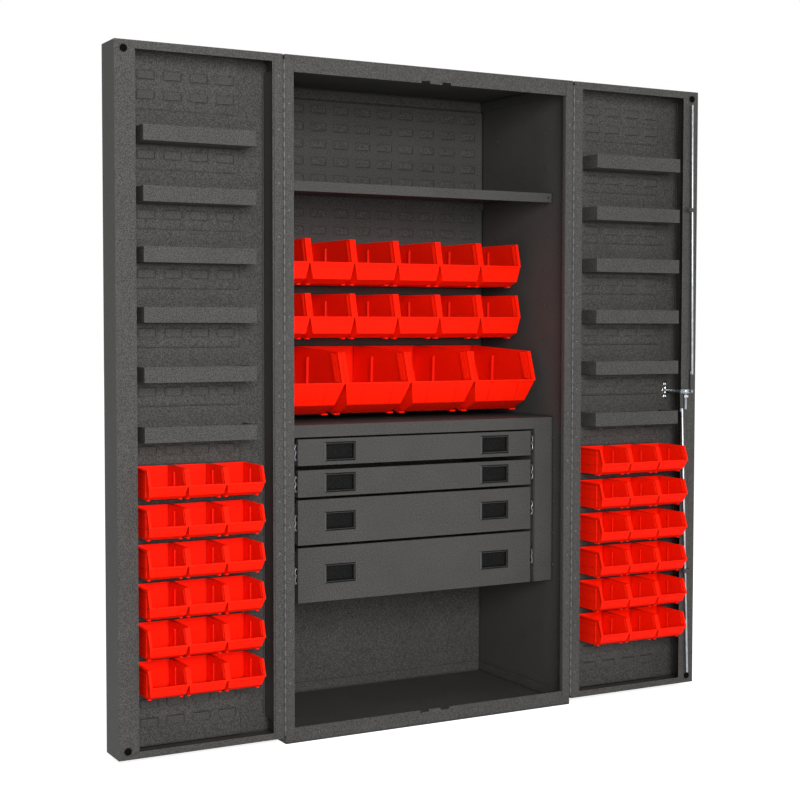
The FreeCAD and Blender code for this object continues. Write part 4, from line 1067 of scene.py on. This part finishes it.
# each edge has its X and Y, its lower and upper end and its thickness
DOOR_EDGES = ((476.6, -160.2, 57, 1788, 0.9), (915.2, -160.4, 20, 1825, 0.8))
for side, door in DOORS:
    seams = bmesh.new()
    for x, y, low, high, radius in DOOR_EDGES:
        wire(seams, [(side * x, y, low), (side * x, y, high)], radius)
    new_piece(f"{joined(door)}Seams", seams, door, [SEAM], smooth_under=ROUND_UNDER)


# rubber stops with a screw in the middle

STOP_PROFILE = (
    (0.2, 0), (0.2, 9.0), (-0.4, 9.5), (-1.9, 9.4), (-2.6, 8.7), (-2.7, 7.9), (-2.5, 4.6), (-1.4, 4.1),
    (-1.2, 3.4), (-1.9, 2.8), (-2.1, 0),
)
STOP_X = 893.9
STOP_FACE = -257.2
STOP_LEVELS = (38.5, 1806.5)
STOP_SIDES = 28
STOP_SMOOTH_UNDER = 45
for side, door in DOORS:
    stops = bmesh.new()
    for level in STOP_LEVELS:
        turned(stops, STOP_PROFILE, (side * STOP_X, STOP_FACE, level), "y", STOP_SIDES)
    made = new_piece(
        f"{joined(door)}Stops", stops, door, [RUBBER], smooth_under=STOP_SMOOTH_UNDER
    )
    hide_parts(f"{door}_bumpers")


# lock: nuts and washers on the spindle and its bolts, and a headed pin at the end of the spindle

SPINDLE_X = 878.3
SPINDLE_LEVEL = 918
SKIN = -159.6
WASHER_MARGIN = 2
WASHER_SIDES = 24
NUT_ROOT = 1.1
NUT_RADIUS = 6.2
NUT_DEPTH = 3.9
HUB_RADIUS = 9.5
BOLT_SHIFT = 19
ARM_OUTLINE = ((4.9, -2), (10.5, -1.4), (10.5, 1.4), (4.9, 2))
ARM_FRONT = 5.4
ARM_BACK = 1.0
LOCK_ROUNDING = 0.3


def hexagon(radius, x, z):
    """The six corners of a nut."""
    angles = [math.radians(60 * corner) for corner in range(6)]
    return [(x + radius * math.cos(angle), z + radius * math.sin(angle)) for angle in angles]


nuts = bmesh.new()
for shift in (-BOLT_SHIFT, 0, BOLT_SHIFT):
    wide = NUT_RADIUS if shift else HUB_RADIUS
    level = SPINDLE_LEVEL + shift
    washer = [(0.1, 0), (0.1, wide + WASHER_MARGIN), (-0.9, wide + WASHER_MARGIN), (-1.2, wide), (-1.2, 0)]
    turned(nuts, washer, (SPINDLE_X, SKIN, level), "y", WASHER_SIDES)
    if shift:
        prism(nuts, hexagon(wide, SPINDLE_X, level), SKIN - NUT_DEPTH, SKIN - NUT_ROOT, "y")
    else:
        for angle in range(0, 360, 90):
            arm = Matrix.Translation((SPINDLE_X, 0, level)) @ Matrix.Rotation(math.radians(angle), 4, "Y")
            prism(nuts, ARM_OUTLINE, SKIN - ARM_FRONT, SKIN - ARM_BACK, "y", arm)
new_piece("LockNuts", nuts, "right_door", [PLATED], LOCK_ROUNDING)

PIN_PROFILE = ((0, 0), (0, 4.1), (-0.8, 4.6), (-3.0, 4.6), (-3.6, 4.0), (-3.6, 0))
PIN_FACE = -261.6
PIN_SIDES = 20
PIN_ROUNDING = 0.4
TAB_OUTLINE = ((-8, -10.5), (8, -10.5), (8, -4.5), (6.5, -3.5), (-6.5, -3.5), (-8, -4.5))
TAB_FRONT = -263.6
TAB_BACK = -261.5
TAB_DROP = 8
pin = bmesh.new()
turned(pin, PIN_PROFILE, (SPINDLE_X, PIN_FACE, SPINDLE_LEVEL), "y", PIN_SIDES)
tab = Matrix.Translation((SPINDLE_X, 0, SPINDLE_LEVEL - TAB_DROP))
prism(pin, TAB_OUTLINE, TAB_FRONT, TAB_BACK, "y", tab)
new_piece("SpindleEnd", pin, "lock", [PLATED], PIN_ROUNDING)
